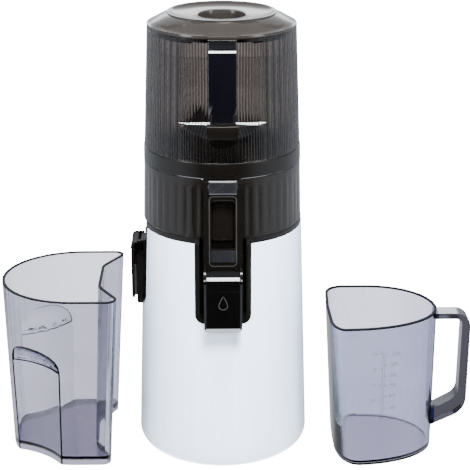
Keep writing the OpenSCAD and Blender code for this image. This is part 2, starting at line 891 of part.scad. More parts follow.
// A prism between two heights that flares evenly from its foot to full size at height h
module flared(z0, z1, h, flare) {
  low = [for (k = [0, 1]) flare[k] + (1 - flare[k]) * z0 / h];
  high = [for (k = [0, 1]) flare[k] + (1 - flare[k]) * z1 / h];
  translate([0, 0, z0])
    linear_extrude(height = z1 - z0, scale = [high[0] / low[0], high[1] / low[1]], slices = 1)
      scale(low) children();
}

// Plan of the pulp container at its rim: an oval with a bay that fits round the pulp spout
module bin_plan(inset) {
  offset(delta = -inset)
    translate([bin_x - bin_flare_x, 0])
      polygon(concat(
        oval([0, 0], 75, bin_half_y, 90, 270, 24),
        arc([32, -bin_half_y + 9.5], 9.5, -90, 25, 6),
        [[26, -32], [24, -26], [24, 26], [26, 32]],
        arc([32, bin_half_y - 9.5], 9.5, -25, 90, 6)));
}

module bin_form(inset, z0, z1) {
  translate([bin_flare_x, bin_mid_y, 0]) flared(z0, z1, bin_h, bin_flare) bin_plan(inset);
}

// The hollow that a hand grips, one on each side of the pulp container
module grip_scoops(grow) {
  for (s = [-1, 1])
    translate([bin_x - 85, bin_mid_y + s * 109, -1])
      rotate_extrude()
        polygon(concat([[0, 0], [80 + grow, 0]],
          arc([80 - 22, 100], 22 + grow, 0, 90, 6), [[0, 122 + grow]]));
}

module pulp_container() {
  color("#b4b5c4")
    difference() {
      bin_form(0, 0, bin_h);
      grip_scoops(0);
      difference() {
        bin_form(bin_wall, 9, bin_h + 1);
        grip_scoops(bin_wall);
      }
      difference() {
        bin_form(bin_wall, -1, 6.5);
        grip_scoops(bin_wall);
      }
    }
}

// Outline of the jug at height t, 0 at its foot and 1 at its rim: an oval with one flat side,
// whose front corner is well rounded at the foot and sharp enough to pour from at the rim
function jug_outline(t, inset) =
  let(side = 8.2 - 8.2 * t,
    corner = [side + 19.6 - 6 * t, -8 - 26 * t],
    front = [24 - 8 * t, 0],
    back = [46 - 3 * t, 0],
    rear = [side + 18 + t, 36.5 + 2.5 * t])
  concat(
    oval(front, 83 + 8.5 * t - inset, 53 + 4.5 * t - inset, -86, 0),
    oval(back, 61 + 3.5 * t - inset, 54.5 + 3.5 * t - inset, 5, 90),
    arc(rear, 18 + t - inset, 95, 180, 6),
    [[side - 0.6 - 0.8 * t + inset, 10 - 8 * t]],
    oval(corner, 20 - 6 * t - inset, 44 - 20 * t - inset, 180, 264));

// A prism between two outlines with the same number of points
module lofted(low, high, z0, z1) {
  n = len(low);
  polyhedron(
    points = concat([for (p = low) [p[0], p[1], z0]], [for (p = high) [p[0], p[1], z1]]),
    faces = concat(
      [[for (i = [0:n - 1]) i], [for (i = [0:n - 1]) 2 * n - 1 - i]],
      [for (i = [0:n - 1]) [i, i + n, (i + 1) % n + n]],
      [for (i = [0:n - 1]) [i, (i + 1) % n + n, (i + 1) % n]]));
}

module jug_form(inset, z0, z1) {
  translate([jug_x, jug_mid_y, 0])
    lofted(jug_outline(z0 / jug_h, inset), jug_outline(z1 / jug_h, inset), z0, z1);
}

// Side outline of the jug's handle, in X and Z
module handle_side() {
  difference() {
    polygon(concat([[jug_x + 98, 22], [jug_x + 98, 143.5]],
      arc([jug_x + 127, 129.5], 14, 90, 0, 6), arc([jug_x + 119, 52], 21.5, 0, -62, 6),
      [[jug_x + 106, 22]]));
    polygon(concat([[jug_x + 94, 38], [jug_x + 94, 137.5]],
      arc([jug_x + 126.5, 131.5], 6, 90, 0, 4), arc([jug_x + 118, 62], 14, 0, -62, 6),
      [[jug_x + 104, 38]]));
  }
}

module juice_jug() {
  color("#aeb0c2")
    difference() {
      union() {
        jug_form(0, 0, jug_h);
        translate([0, jug_mid_y + 9, 0])
          rotate([90, 0, 0])
            linear_extrude(height = 18) handle_side();
      }
      jug_form(bin_wall, 4.7, jug_h + 1);
      jug_form(bin_wall, -1, 2.2);
    }
}

base_housing();
drum_seat_collar();
bottom_cover();
rubber_feet();
cover_screws();
motor_can();
motor_rotor();
cooling_fan();
gearbox_tray();
gearbox_cover();
gearbox_screws();
intermediate_gear();
intermediate_axle();
output_gear();
drive_shaft();
drive_bush();
deck_seal();
control_board();
switch_bezel();
rocker_switch();
cord_gland();
interlock_switch();
drum();
juice_column();
drum_seal();
strainer();
auger();
auger_socket();
juice_cap();
cap_pin();
cap_seal();
pulp_flap();
flap_pin();
flap_seal();
drum_latch();
latch_pin();
interlock_plunger();
plunger_spring();
hopper_seal();
hopper_ring();
throat_funnel();
hopper();
rod_channel();
lid_lever();
lever_pin();
lever_bracket();
lid();
lid_seal();
lid_hinge_pin();
pulp_container();
juice_jug();
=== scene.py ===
# %% [markdown]
# # A vertical slow juicer
#
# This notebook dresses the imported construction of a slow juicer: a white motor base, a dark clear
# drum, a tall ribbed hopper with a lid, and two clear containers beside it. The construction gives
# every size and joint. The cells below add what the eye sees: mouldings with rounded edges, ribs and
# flutes in the clear parts, and a finish for each real material.

# %% Load the construction
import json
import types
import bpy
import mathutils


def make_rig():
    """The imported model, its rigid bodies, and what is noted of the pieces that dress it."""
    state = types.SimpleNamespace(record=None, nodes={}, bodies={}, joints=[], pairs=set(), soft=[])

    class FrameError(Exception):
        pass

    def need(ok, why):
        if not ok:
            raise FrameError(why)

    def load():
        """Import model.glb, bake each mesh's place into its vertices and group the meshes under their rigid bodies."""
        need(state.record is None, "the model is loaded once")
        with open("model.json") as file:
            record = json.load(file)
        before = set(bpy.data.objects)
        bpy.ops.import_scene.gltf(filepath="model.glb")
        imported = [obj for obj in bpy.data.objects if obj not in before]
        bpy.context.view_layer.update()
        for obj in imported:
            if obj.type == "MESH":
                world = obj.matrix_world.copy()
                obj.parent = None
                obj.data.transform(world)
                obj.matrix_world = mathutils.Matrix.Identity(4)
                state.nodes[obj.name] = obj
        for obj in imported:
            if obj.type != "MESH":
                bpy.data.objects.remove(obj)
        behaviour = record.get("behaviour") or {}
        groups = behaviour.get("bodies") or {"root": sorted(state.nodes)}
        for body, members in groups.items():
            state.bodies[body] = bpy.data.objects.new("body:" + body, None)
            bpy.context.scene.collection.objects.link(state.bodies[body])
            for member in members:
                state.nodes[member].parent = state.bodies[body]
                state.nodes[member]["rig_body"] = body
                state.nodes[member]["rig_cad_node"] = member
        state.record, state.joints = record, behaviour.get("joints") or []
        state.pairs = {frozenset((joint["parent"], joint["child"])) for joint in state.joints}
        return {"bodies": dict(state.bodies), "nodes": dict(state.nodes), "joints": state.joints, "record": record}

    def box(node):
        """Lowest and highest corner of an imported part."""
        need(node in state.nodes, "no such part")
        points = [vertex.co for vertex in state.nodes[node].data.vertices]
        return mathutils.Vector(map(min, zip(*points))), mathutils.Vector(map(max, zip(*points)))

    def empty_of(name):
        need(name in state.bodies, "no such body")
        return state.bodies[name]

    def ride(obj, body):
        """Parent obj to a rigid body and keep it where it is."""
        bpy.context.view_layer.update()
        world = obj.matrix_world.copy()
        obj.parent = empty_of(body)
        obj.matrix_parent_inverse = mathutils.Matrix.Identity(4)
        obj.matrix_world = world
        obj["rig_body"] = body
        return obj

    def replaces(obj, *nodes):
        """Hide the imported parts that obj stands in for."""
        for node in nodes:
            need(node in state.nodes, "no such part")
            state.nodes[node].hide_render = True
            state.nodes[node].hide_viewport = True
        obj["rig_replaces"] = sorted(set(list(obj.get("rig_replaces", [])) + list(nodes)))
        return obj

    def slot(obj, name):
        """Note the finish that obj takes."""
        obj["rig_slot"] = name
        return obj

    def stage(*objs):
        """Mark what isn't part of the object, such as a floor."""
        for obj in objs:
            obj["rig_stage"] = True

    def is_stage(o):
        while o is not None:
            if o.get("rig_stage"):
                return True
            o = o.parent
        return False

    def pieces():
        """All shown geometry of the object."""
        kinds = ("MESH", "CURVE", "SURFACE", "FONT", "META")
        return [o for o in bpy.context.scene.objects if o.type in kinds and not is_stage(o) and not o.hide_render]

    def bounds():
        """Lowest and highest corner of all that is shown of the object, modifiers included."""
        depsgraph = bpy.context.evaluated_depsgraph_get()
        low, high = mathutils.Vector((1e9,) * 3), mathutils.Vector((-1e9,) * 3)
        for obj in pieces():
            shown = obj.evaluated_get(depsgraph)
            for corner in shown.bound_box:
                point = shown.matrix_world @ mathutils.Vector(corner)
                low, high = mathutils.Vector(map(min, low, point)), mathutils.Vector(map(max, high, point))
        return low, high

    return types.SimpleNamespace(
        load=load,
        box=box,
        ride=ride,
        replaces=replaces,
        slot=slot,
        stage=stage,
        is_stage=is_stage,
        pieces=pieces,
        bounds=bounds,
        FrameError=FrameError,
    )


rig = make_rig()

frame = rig.load()

import json
import math
import os

import bmesh
import bpy
from mathutils import Matrix, Vector

scene = bpy.context.scene
cad_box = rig.bounds()
MM = 0.001
body_of_node = {n: b for b, names in frame["record"]["behaviour"]["bodies"].items() for n in names}
slot_of_node = {p["node"]: p["material_slot"] for p in frame["record"]["subparts"]}
print("nodes:", len(frame["nodes"]), "bodies:", len(frame["bodies"]))


def box_mm(node):
    """Lowest and highest corner of a node, in millimetres."""
    low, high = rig.box(node)
    return Vector(low) / MM, Vector(high) / MM


# %% [markdown]
# ## Camera
#
# A product shot like this is taken with a long lens from well in front and a little above, so that
# upright edges stay nearly parallel. The camera looks down by about twenty degrees, which shows the
# hole in the lid and the insides of the containers. Depth of field is off, so all of it is sharp.

# %% Camera
SENSOR_MM = 36.0
LENS_MM = 109.9
CAMERA_PLACE = (-0.008455, -1.327636, 0.688520)
LOOK_DOWN_DEG = 19.512
LOOK_ASIDE_DEG = -0.9


def place_camera():
    data = bpy.data.cameras.new("product_camera")
    data.sensor_width = SENSOR_MM
    data.lens = LENS_MM
    data.clip_end = 20.0
    camera = bpy.data.objects.new("product_camera", data)
    camera.location = CAMERA_PLACE
    camera.rotation_euler = (math.radians(90 - LOOK_DOWN_DEG), 0, math.radians(LOOK_ASIDE_DEG))
    scene.collection.objects.link(camera)
    scene.camera = camera
    return camera


camera = place_camera()
print("camera distance to the drum, m:", round((camera.location - Vector((0, 0, 0.27))).length, 3))

# %% [markdown]
# ## Studio
#
# The set is a large sheet of white acrylic lit from below, as photographers use for clear things.
# Clear plastic shows only what it refracts, so the light sheet gives it its pale body. Glossy black
# parts must not mirror that sheet, or they would turn grey: a dark cloth in front of the machine
# takes its place in their reflections. Here the sheet is hidden from reflected rays, and the room
# below the horizon stands for the cloth in front and for the sheet at the sides and underneath. The
# sheet is drawn three times: one copy is what the camera sees, overexposed on purpose, one is what
# clear parts are seen against, within the range of the film, and one lights the machine. Above hang
# two boxes: a narrow one that draws thin bright lines on edges and ledges, and a strong key in front
# that lights the white base and is kept out of reflections. Weak boxes stand behind and at the sides.

# %% Studio
def linear(code):
    """An sRGB hex colour as the linear numbers that a shader takes."""
    parts = [int(code[i:i + 2], 16) / 255 for i in (1, 3, 5)]
    return tuple(p / 12.92 if p <= 0.04045 else ((p + 0.055) / 1.055) ** 2.4 for p in parts) + (1.0,)


def add(material, kind, values):
    """Adds a node. A key is an input's name or number, or a setting; an output as value is linked."""
    tree = material.node_tree
    node = tree.nodes.new("ShaderNode" + kind)
    for key, value in values.items():
        if isinstance(key, int) or key in node.inputs:
            if isinstance(value, bpy.types.NodeSocket):
                tree.links.new(value, node.inputs[key])
            else:
                node.inputs[key].default_value = value
        else:
            setattr(node, key, value)
    return node


def start(name):
    """A new empty material, and the object coordinates that its patterns use."""
    material = bpy.data.materials.new(name)
    material.use_nodes = True
    material.node_tree.nodes.clear()
    return material, add(material, "TexCoord", {}).outputs["Object"]


def surface(material, values, inside=None):
    """Ends a material with its shader, and with what its inside does to light that goes through."""
    shader = add(material, "BsdfPrincipled", values)
    ends = {"Surface": shader.outputs["BSDF"]}
    if inside:
        ends["Volume"] = add(material, "VolumeAbsorption", inside).outputs[0]
    add(material, "OutputMaterial", ends)
    return material


def noise(material, place, size_mm, detail):
    """Cloudy noise whose features are so many millimetres across."""
    return add(material, "TexNoise", {"Vector": place, "Scale": 1.0 / (size_mm * MM),
                                      "Detail": detail}).outputs[0]


def remap(owner, value, low, high, to_low=0.0, to_high=1.0):
    """A value stretched from one range to another, and kept inside it."""
    return add(owner, "MapRange", {"Value": value, "From Min": low, "From Max": high,
                                   "To Min": to_low, "To Max": to_high}).outputs[0]


def bump(material, height, strength, depth_mm):
    """The surface's direction, tilted by a pattern that is so many millimetres deep."""
    return add(material, "Bump", {"Height": height, "Strength": strength,
                                  "Distance": depth_mm * MM}).outputs[0]


def blend(material, factor, first, second):
    """Two sRGB hex colours mixed by a pattern."""
    return add(material, "Mix", {"data_type": "RGBA", 0: factor, 6: linear(first),
                                 7: linear(second)}).outputs[2]


def lit_acrylic(name, strength):
    # Opal acrylic on a light table: even and white, with the faint cloud of its pigment.
    material, place = start(name)
    glow = remap(material, noise(material, place, 400, 2.0), 0.3, 0.7, strength * 0.98, strength * 1.02)
    return surface(material, {"Base Color": linear("#141416"), "Roughness": 0.9,
                              "Emission Color": linear("#fcfdff"), "Emission Strength": glow})


def mesh_of(name, bm):
    """A mesh made of a bmesh."""
    mesh = bpy.data.meshes.new(name)
    bm.to_mesh(mesh)
    bm.free()
    return mesh


def make_sheet(name, height, strength, job):
    """A wide light sheet: what the camera sees, what clear parts are seen against, or what lights."""
    bm = bmesh.new()
    bmesh.ops.create_circle(bm, cap_ends=True, segments=64, radius=SHEET_RADIUS)
    bmesh.ops.translate(bm, vec=(0, 0, height), verts=bm.verts[:])
    mesh = mesh_of(name, bm)
    mesh.materials.append(lit_acrylic(name, strength))
    sheet = bpy.data.objects.new(name, mesh)
    sheet.visible_glossy = False
    sheet.visible_camera = job == "seen"
    sheet.visible_transmission = job == "through"
    sheet.visible_diffuse = job == "lighting"
    scene.collection.objects.link(sheet)
    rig.stage(sheet)
    return sheet


def soft_box(name, place, target, size, power):
    """A rectangular soft box that looks at a target; sizes in metres, power in watts."""
    data = bpy.data.lights.new(name, "AREA")
    data.shape = "RECTANGLE"
    data.size, data.size_y = size
    data.energy = power
    light = bpy.data.objects.new(name, data)
    light.location = place
    light.rotation_euler = (Vector(target) - Vector(place)).to_track_quat("-Z", "Y").to_euler()
    light.visible_camera = False
    scene.collection.objects.link(light)
    return light


def make_room():
    """A pale room; below the horizon it is dark in front and bright at the sides and under the lens."""
    room = bpy.data.worlds.new("studio_room")
    room.use_nodes = True
    room.node_tree.nodes.clear()
    way = add(room, "SeparateXYZ", {"Vector": add(room, "TexCoord", {}).outputs["Generated"]}).outputs
    across = add(room, "Math", {"operation": "ABSOLUTE", 0: way["X"]}).outputs[0]
    sides = remap(room, across, 0.5, 0.9, CLOTH_GLOW, SIDE_GLOW)
    behind = remap(room, way["Y"], 0.3, 0.9, 0.0, BACK_GLOW)
    low = add(room, "Math", {"operation": "ADD", 0: sides, 1: behind}).outputs[0]
    near = remap(room, way["Z"], -0.75, -0.6, UNDER_GLOW, low)
    high = remap(room, way["Y"], 0.6, 0.95, ROOM_GLOW, WALL_GLOW)
    level = remap(room, way["Z"], -0.04, 0.04)
    air = add(room, "Mix", {"data_type": "FLOAT", "Factor": level, "A": near, "B": high}).outputs[0]
    light = add(room, "Background", {"Color": linear("#e2e8f2"), "Strength": air})
    add(room, "OutputWorld", {"Surface": light.outputs[0]})
    scene.world = room


# Strengths of the light sheet's three copies, then of the room: overhead, the wall behind the
# machine, the cloth in front, the sides, the back, and straight down.
SHEET_RADIUS = 9.0
SEEN_GLOW, THROUGH_GLOW, SHEET_GLOW = 18.0, 3.2, 3.3
ROOM_GLOW, WALL_GLOW = 0.6, 1.6
CLOTH_GLOW, SIDE_GLOW, BACK_GLOW, UNDER_GLOW = 0.01, 1.0, 0.8, 15.0
make_room()
make_sheet("seen_light_sheet", 0.0, SEEN_GLOW, "seen")
make_sheet("through_light_sheet", 0.00001, THROUGH_GLOW, "through")
make_sheet("lighting_sheet", 0.00002, SHEET_GLOW, "lighting")
soft_box("overhead", (0.0, -0.316, 1.4), (0, -0.316, 0), (0.8, 0.22), 60.0)
key = soft_box("front_key", (0.12, -0.9, 1.55), (0, -0.08, 0.15), (0.4, 0.4), 150.0)
key.visible_glossy = False
soft_box("low_behind", (0.0, 1.6, 0.87), (0, 0, 0.3), (1.2, 0.3), 4.0)
soft_box("left_box", (-1.3, -0.9, 0.9), (0, 0, 0.25), (0.5, 1.2), 12.0)
soft_box("right_box", (1.3, -0.9, 0.9), (0, 0, 0.25), (0.5, 1.2), 8.0)
print("lights:", len([o for o in scene.objects if o.type == "LIGHT"]))

# %% [markdown]
# ## Opaque plastics
#
# The base is white ABS, moulded in a polished tool and left glossy. Its gloss is soft, because ABS
# never comes out as flat as glass: a very shallow ripple breaks up the reflections. The trims are
# the same plastic in black. Parts that hands and screws touch have a fine spark-eroded texture, which
# hides scratches. The spouts behind the flap are matt, because they lie in the shade of the base.

# %% Opaque plastics
def glossy_white_abs():
    # Moulded ABS, polished tool: pale cool white with a soft, slightly rippled gloss.
    material, place = start("glossy_white_abs")
    ripple = bump(material, noise(material, place, 9, 1.0), 0.05, 0.2)
    tone = blend(material, noise(material, place, 60, 2.0), "#cfdff5", "#d6e5fa")
    return surface(material, {"Base Color": tone, "Roughness": 0.24, "IOR": 1.53, "Normal": ripple})


def moulded_black(name, code, roughness, grain_mm, depth_mm, index=1.5):
    """Black moulded plastic whose surface grain is so many millimetres wide and deep."""
    material, place = start(name)
    grain = bump(material, noise(material, place, grain_mm, 3.0), 0.35, depth_mm)
    gloss = remap(material, noise(material, place, 18, 2.0), 0.3, 0.7, roughness * 0.85, roughness * 1.2)
    return surface(material, {"Base Color": linear(code), "Roughness": gloss, "IOR": index, "Normal": grain})


white_abs = glossy_white_abs()
black_trim = moulded_black("satin_black_abs", "#070605", 0.2, 6.0, 0.05)
black_gloss = moulded_black("polished_black_abs", "#030303", 0.07, 9.0, 0.01)
black_lever = moulded_black("polished_blue_black_abs", "#040407", 0.08, 9.0, 0.01)
dark_texture = moulded_black("spark_textured_abs", "#0d0d10", 0.36, 0.9, 0.06)
matt_black = moulded_black("matt_black_abs", "#060505", 0.45, 0.9, 0.03, 1.15)
# Grey for the droplet mark on the cap, and for the window frame, where it is a painted highlight for the light on the
# frame's edges.
grey_mark_and_glint = moulded_black("grey_mark_and_painted_glint", "#1c1c1a", 0.4, 0.9, 0.03)
auger_resin = moulded_black("satin_pei_resin", "#120e0c", 0.35, 4.0, 0.05)
print("materials so far:", len(bpy.data.materials))

# %% [markdown]
# ## Clear plastics
#
# The hopper and the containers are tinted copolyester, a tough clear plastic with an index of about
# 1.57. The tint is inside the plastic, so it darkens with every millimetre that light goes through:
# a wall seen straight on is pale, and a rim, a rib or a corner seen along its length is nearly black.
# Volume absorption does just that, and its density comes from the share of red, green and blue light
# that one wall lets through. Some looks are too thin a detail to be traced, so they are painted in
# outright as shade. A dull tint in the hopper's valleys stands in for the dark lines and bands that the
# ribs refract and mirror. A near-black edge along a rim stands in for the light lost on its long way
# inside the wall. A darker floor and foot on the containers stand in for the shade on the table under
# them. The drum and
# the lid are hazy, with carbon pigment close to the surface, so their colour is an ordinary one.

# %% Clear plastics
COPOLYESTER_INDEX = 1.57
HOPPER_WALL_MM = 2.5
CONTAINER_WALL_MM = 2.6
CONTAINER_TINT = (0.53, 0.53, 0.59)


def clear_copolyester(name, wall_mm, through, roughness, ripple, crest="#ffffff", valley=None,
                      index=COPOLYESTER_INDEX):
    """Clear plastic; through is the light one wall lets by; crest tints its surface, as painted shade on the
    containers' floor and foot, and valley is a painted shade colour mixed in by each point's valley value.
    """
    material, place = start(name)
    flow = bump(material, noise(material, place, 30, 1.0), ripple, 0.3)
    lost = [-math.log(part) / (wall_mm * MM) for part in through]
    density = max(lost) * 1.03
    colour = tuple(1 - part / density for part in lost) + (1.0,)
    # The painted valley shade that the hopper's points carry; parts without it read 0 and keep the crest colour.
    painted_valley_shade = add(material, "Attribute", {"attribute_name": "valley"}).outputs["Fac"]
    return surface(material, {"Base Color": blend(material, painted_valley_shade, crest, valley or crest),
                              "Roughness": roughness, "IOR": index, "Transmission Weight": 1.0,
                              "Normal": flow}, {"Color": colour, "Density": density})


def hazy_copolyester(name, code, roughness, haze):
    # The same plastic with a little carbon pigment: it scatters some light back as a dull grey.
    material, place = start(name)
    flow = bump(material, noise(material, place, 22, 2.0), 0.04, 0.3)
    return surface(material, {"Base Color": linear(code), "Roughness": roughness, "IOR": COPOLYESTER_INDEX,
                              "Transmission Weight": 1.0 - haze, "Normal": flow})


def dark_rim(name):
    # Painted shade for a rim seen along its wall: light is lost on the long way inside, so it is painted nearly black.
    # The jug's foot takes it too, as painted shade where the jug stands.
    material, place = start(name)
    tone = blend(material, noise(material, place, 25, 1.0), "#08080c", "#0d0d12")
    return surface(material, {"Base Color": tone, "Roughness": 0.45, "IOR": 1.1})


def container_plastic(name, through=CONTAINER_TINT, roughness=0.0, ripple=0.01, **more):
    """The clear plastic of the jug and the pulp container, for one part of them."""
    return clear_copolyester(name, CONTAINER_WALL_MM, through, roughness, ripple, **more)


# Smoke plastic; its valley colour is painted shade for the dark lines and bands that the ribs refract and mirror.
smoke_clear = clear_copolyester("smoke_copolyester", HOPPER_WALL_MM, (0.235, 0.218, 0.211), 0.0, 0.0,
                                valley="#5c5856")
drum_clear = hazy_copolyester("dark_smoke_copolyester", "#2b2724", 0.05, 0.12)
lid_clear = hazy_copolyester("smoke_lid_copolyester", "#3a3531", 0.16, 0.2)
bin_clear = container_plastic("pale_copolyester")
jug_clear = container_plastic("pale_jug_copolyester", (0.49, 0.495, 0.595))
# The floor's lighter absorption is the plastic's own; its grey-pink tint is painted shade for the table under the
# container.
floor_shade_clear = container_plastic("floor_copolyester_painted_shade", (0.72, 0.71, 0.76), 0.03, 0.02, crest="#d0c8cc")
grip_clear = container_plastic("grip_roof_copolyester", index=1.01)
# The foot's grey tint is painted shade for the table under the pulp container.
foot_shade_clear = container_plastic("container_foot_painted_shade", crest="#aaa8b0")
handle_clear = clear_copolyester("thick_pale_copolyester", 12.0, (0.115, 0.113, 0.13), 0.08, 0.03)
# Near-black painted shade for the rims and for the jug's foot.
rim_painted_shade = dark_rim("painted_rim_shade")
print("clear plastics:", [m.name for m in (smoke_clear, drum_clear, lid_clear, bin_clear)])

# %% [markdown]
# ## Metals, rubber and the rest
#
# Pins are ground steel, screws are zinc plated, and the motor's case is pressed sheet. Brushed or
# ground metal is fine scratches in one direction, so a noise stretched along one axis gives its
# roughness. Gears are natural nylon, which is creamy and a little waxy; seals are matt silicone.

# %% Metals, rubber and the rest
def worked_metal(name, code, roughness, scratch_mm, stretch):
    """Bare metal with fine scratches; stretch squeezes the pattern along X, Y and Z."""
    material, place = start(name)
    turned = add(material, "Mapping", {"Vector": place, "Scale": stretch}).outputs[0]
    scratch = noise(material, turned, scratch_mm, 4.0)
    gloss = remap(material, scratch, 0.3, 0.7, roughness * 0.7, roughness * 1.3)
    return surface(material, {"Base Color": linear(code), "Metallic": 1.0, "Roughness": gloss,
                              "Normal": bump(material, scratch, 0.15, 0.03)})


def matt_moulding(name, code, second, roughness, grain_mm, sheen=0.0):
    """Matt rubber, resin or laminate with a mottled tone and a fine grain."""
    material, place = start(name)
    tone = blend(material, noise(material, place, 12, 3.0), code, second)
    grain = bump(material, noise(material, place, grain_mm, 3.0), 0.25, 0.06)
    return surface(material, {"Base Color": tone, "Roughness": roughness, "Sheen Weight": sheen,
                              "Normal": grain})


dark_pin = worked_metal("blackened_steel", "#3a3a3c", 0.3, 0.8, (1, 1, 6))
ground_steel = worked_metal("ground_steel", "#c4c6c8", 0.25, 0.8, (1, 1, 6))
zinc_steel = worked_metal("zinc_plated_steel", "#b9bcc0", 0.35, 2.5, (1, 1, 1))
sheet_steel = worked_metal("pressed_sheet_steel", "#84888b", 0.4, 3.0, (1, 1, 4))
laminations = worked_metal("stacked_laminations", "#8f897f", 0.45, 0.9, (0.1, 0.1, 8))
cast_alloy = worked_metal("die_cast_aluminium", "#9ea2a6", 0.5, 1.6, (1, 1, 1))
bronze = worked_metal("sintered_bronze", "#a9783c", 0.45, 0.7, (1, 1, 1))
nylon = matt_moulding("natural_nylon", "#e4decb", "#d9d1bb", 0.42, 2.0)
scale_ink = matt_moulding("grey_scale_ink", "#45464e", "#3f4148", 0.6, 0.5)
dark_silicone = matt_moulding("black_silicone", "#17181a", "#1d1e20", 0.55, 0.8, 0.1)
silicone = matt_moulding("grey_silicone", "#6c7074", "#777b7f", 0.6, 0.8, 0.2)
foot_rubber = matt_moulding("pale_foot_rubber", "#bfc1c3", "#b0b2b5", 0.7, 0.7, 0.2)
board_resin = matt_moulding("green_board_laminate", "#1f5a38", "#2a6a44", 0.4, 1.2)
red_resin = matt_moulding("red_switch_resin", "#8a2f2a", "#7a2622", 0.45, 1.0)
print("other materials:", len(bpy.data.materials))

# %% [markdown]
# ## Pieces from the construction
#
# A moulding is never sharp at its edges: the tool is cut with small radii, and these catch the light
# as thin bright lines. The construction has sharp edges, so each visible node is copied, its loose
# triangles are merged, flat faces are joined, and every sharp edge gets a small bevel. The copy
# replaces the node and rides on the same body.

# %% Pieces from the construction
def piece(name, bm, material, node, smooth=32):
    """Makes an object of a bmesh, which stands for a node and takes over its body and its slot."""
    mesh = mesh_of(name, bm)
    mesh.materials.append(material)
    mesh.shade_smooth()
    mesh.set_sharp_from_angle(angle=math.radians(smooth))
    obj = bpy.data.objects.new(name, mesh)
    scene.collection.objects.link(obj)
    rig.ride(obj, body_of_node[node])
    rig.slot(obj, slot_of_node[node])
    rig.replaces(obj, node)
    return obj


def box_piece(bm, low, high):
    """Adds a block between two corners in millimetres."""
    low, high = Vector(low), Vector(high)
    size = Matrix.Diagonal((*((high - low) * MM), 1))
    return bmesh.ops.create_cube(bm, size=1.0, matrix=Matrix.Translation((low + high) / 2 * MM) @ size)


def push(bm, faces, by):
    """Extrudes faces, and moves the new ones by so many millimetres along X, Y and Z."""
    made = bmesh.ops.extrude_face_region(bm, geom=faces)["geom"]
    bmesh.ops.translate(bm, vec=Vector(by) * MM, verts=[g for g in made if isinstance(g, bmesh.types.BMVert)])


def prism(bm, outline, axis, low, high):
    """Adds a prism of an outline, in mm, between two places on an axis; the outline skips that axis."""
    def point(pair, along):
        spot = list(pair)
        spot.insert("XYZ".index(axis), along)
        return spot
    face = bm.faces.new([bm.verts.new(Vector(point(pair, low)) * MM) for pair in outline])
    push(bm, [face], point((0, 0), high - low))
    bmesh.ops.recalc_face_normals(bm, faces=bm.faces[:])
    return bm


def barrel(bm, middle, axis, radius, length, segments=32):
    """Adds a short cylinder that lies along X or Y, in millimetres."""
    lying = Matrix.Rotation(math.pi / 2, 4, "Y" if axis == "X" else "X")
    bmesh.ops.create_cone(bm, cap_ends=True, segments=segments, radius1=radius * MM, radius2=radius * MM,
                          depth=length * MM, matrix=Matrix.Translation(Vector(middle) * MM) @ lying)


def slice_plane(bm, place, normal, clear_inner=False, clear_outer=False):
    """Cuts along a plane through a place in mm; if one side is cleared away, the cut is closed."""
    bmesh.ops.bisect_plane(bm, geom=bm.verts[:] + bm.edges[:] + bm.faces[:], plane_co=Vector(place) * MM,
                           plane_no=normal, clear_inner=clear_inner, clear_outer=clear_outer)
    if clear_inner or clear_outer:
        bmesh.ops.holes_fill(bm, edges=[e for e in bm.edges if e.is_boundary], sides=0)


def arc(centre, radius, start_deg, end_deg, steps):
    """Points on an arc, in mm."""
    turns = [math.radians(start_deg + (end_deg - start_deg) * k / steps) for k in range(steps + 1)]
    return [(centre[0] + radius * math.cos(t), centre[1] + radius * math.sin(t)) for t in turns]


def merged_copy(node):
    """A bmesh of a node with its triangles merged and its flat faces joined."""
    bm = bmesh.new()
    bm.from_mesh(frame["nodes"][node].data)
    bmesh.ops.remove_doubles(bm, verts=bm.verts[:], dist=0.002 * MM)
    bmesh.ops.dissolve_limit(bm, angle_limit=math.radians(1.0), verts=bm.verts[:], edges=bm.edges[:])
    return bm


def cut_edges(bm, edges, width, segments=1):
    """A flat chamfer, or a rounding of several facets, on chosen edges."""
    bmesh.ops.bevel(bm, geom=edges, offset=width * MM, offset_type="OFFSET", affect="EDGES",
                    segments=segments, profile=0.5, material=-1, clamp_overlap=True)


def round_edges(bm, width, angle=35, segments=2):
    """Rounds every edge that is sharper than an angle in degrees."""
    sharp = [e for e in bm.edges if len(e.link_faces) == 2 and e.calc_face_angle(0) > math.radians(angle)]
    cut_edges(bm, sharp, width, segments)


def edges_where(bm, test):
    """The edges whose two ends, in millimetres, both pass a test."""
    return [e for e in bm.edges if all(test(*(v.co / MM)) for v in e.verts)]


def dressed(node, material, width, segments=2, first=None):
    """A node's own shape with rounded edges and a finish; first shapes it before that."""
    bm = merged_copy(node)
    if first:
        first(bm)
    round_edges(bm, width, segments=segments)
    return piece(node + "_moulding", bm, material, node, 20)


ROUNDED = [
    ("base_housing", white_abs, 0.5), ("drum_seat_collar", black_trim, 0.5),
    ("bottom_cover", dark_texture, 0.4), ("rubber_feet", foot_rubber, 0.8),
    ("switch_bezel", dark_texture, 0.6), ("rocker_switch", black_gloss, 0.5),
    ("cord_gland", dark_texture, 0.6), ("juice_column", black_trim, 0.9),
    ("pulp_flap", matt_black, 0.6), ("hopper_ring", black_trim, 0.6),
    ("throat_funnel", black_trim, 0.4), ("rod_channel", black_trim, 0.5),
]
for node, material, width in ROUNDED:
    dressed(node, material, width)


LEVER_FACE_Y = -72.0
LEVER_HEAD_Y = -68.4
LEVER_RAISE = 1.8
SAME_HEIGHT = 0.2


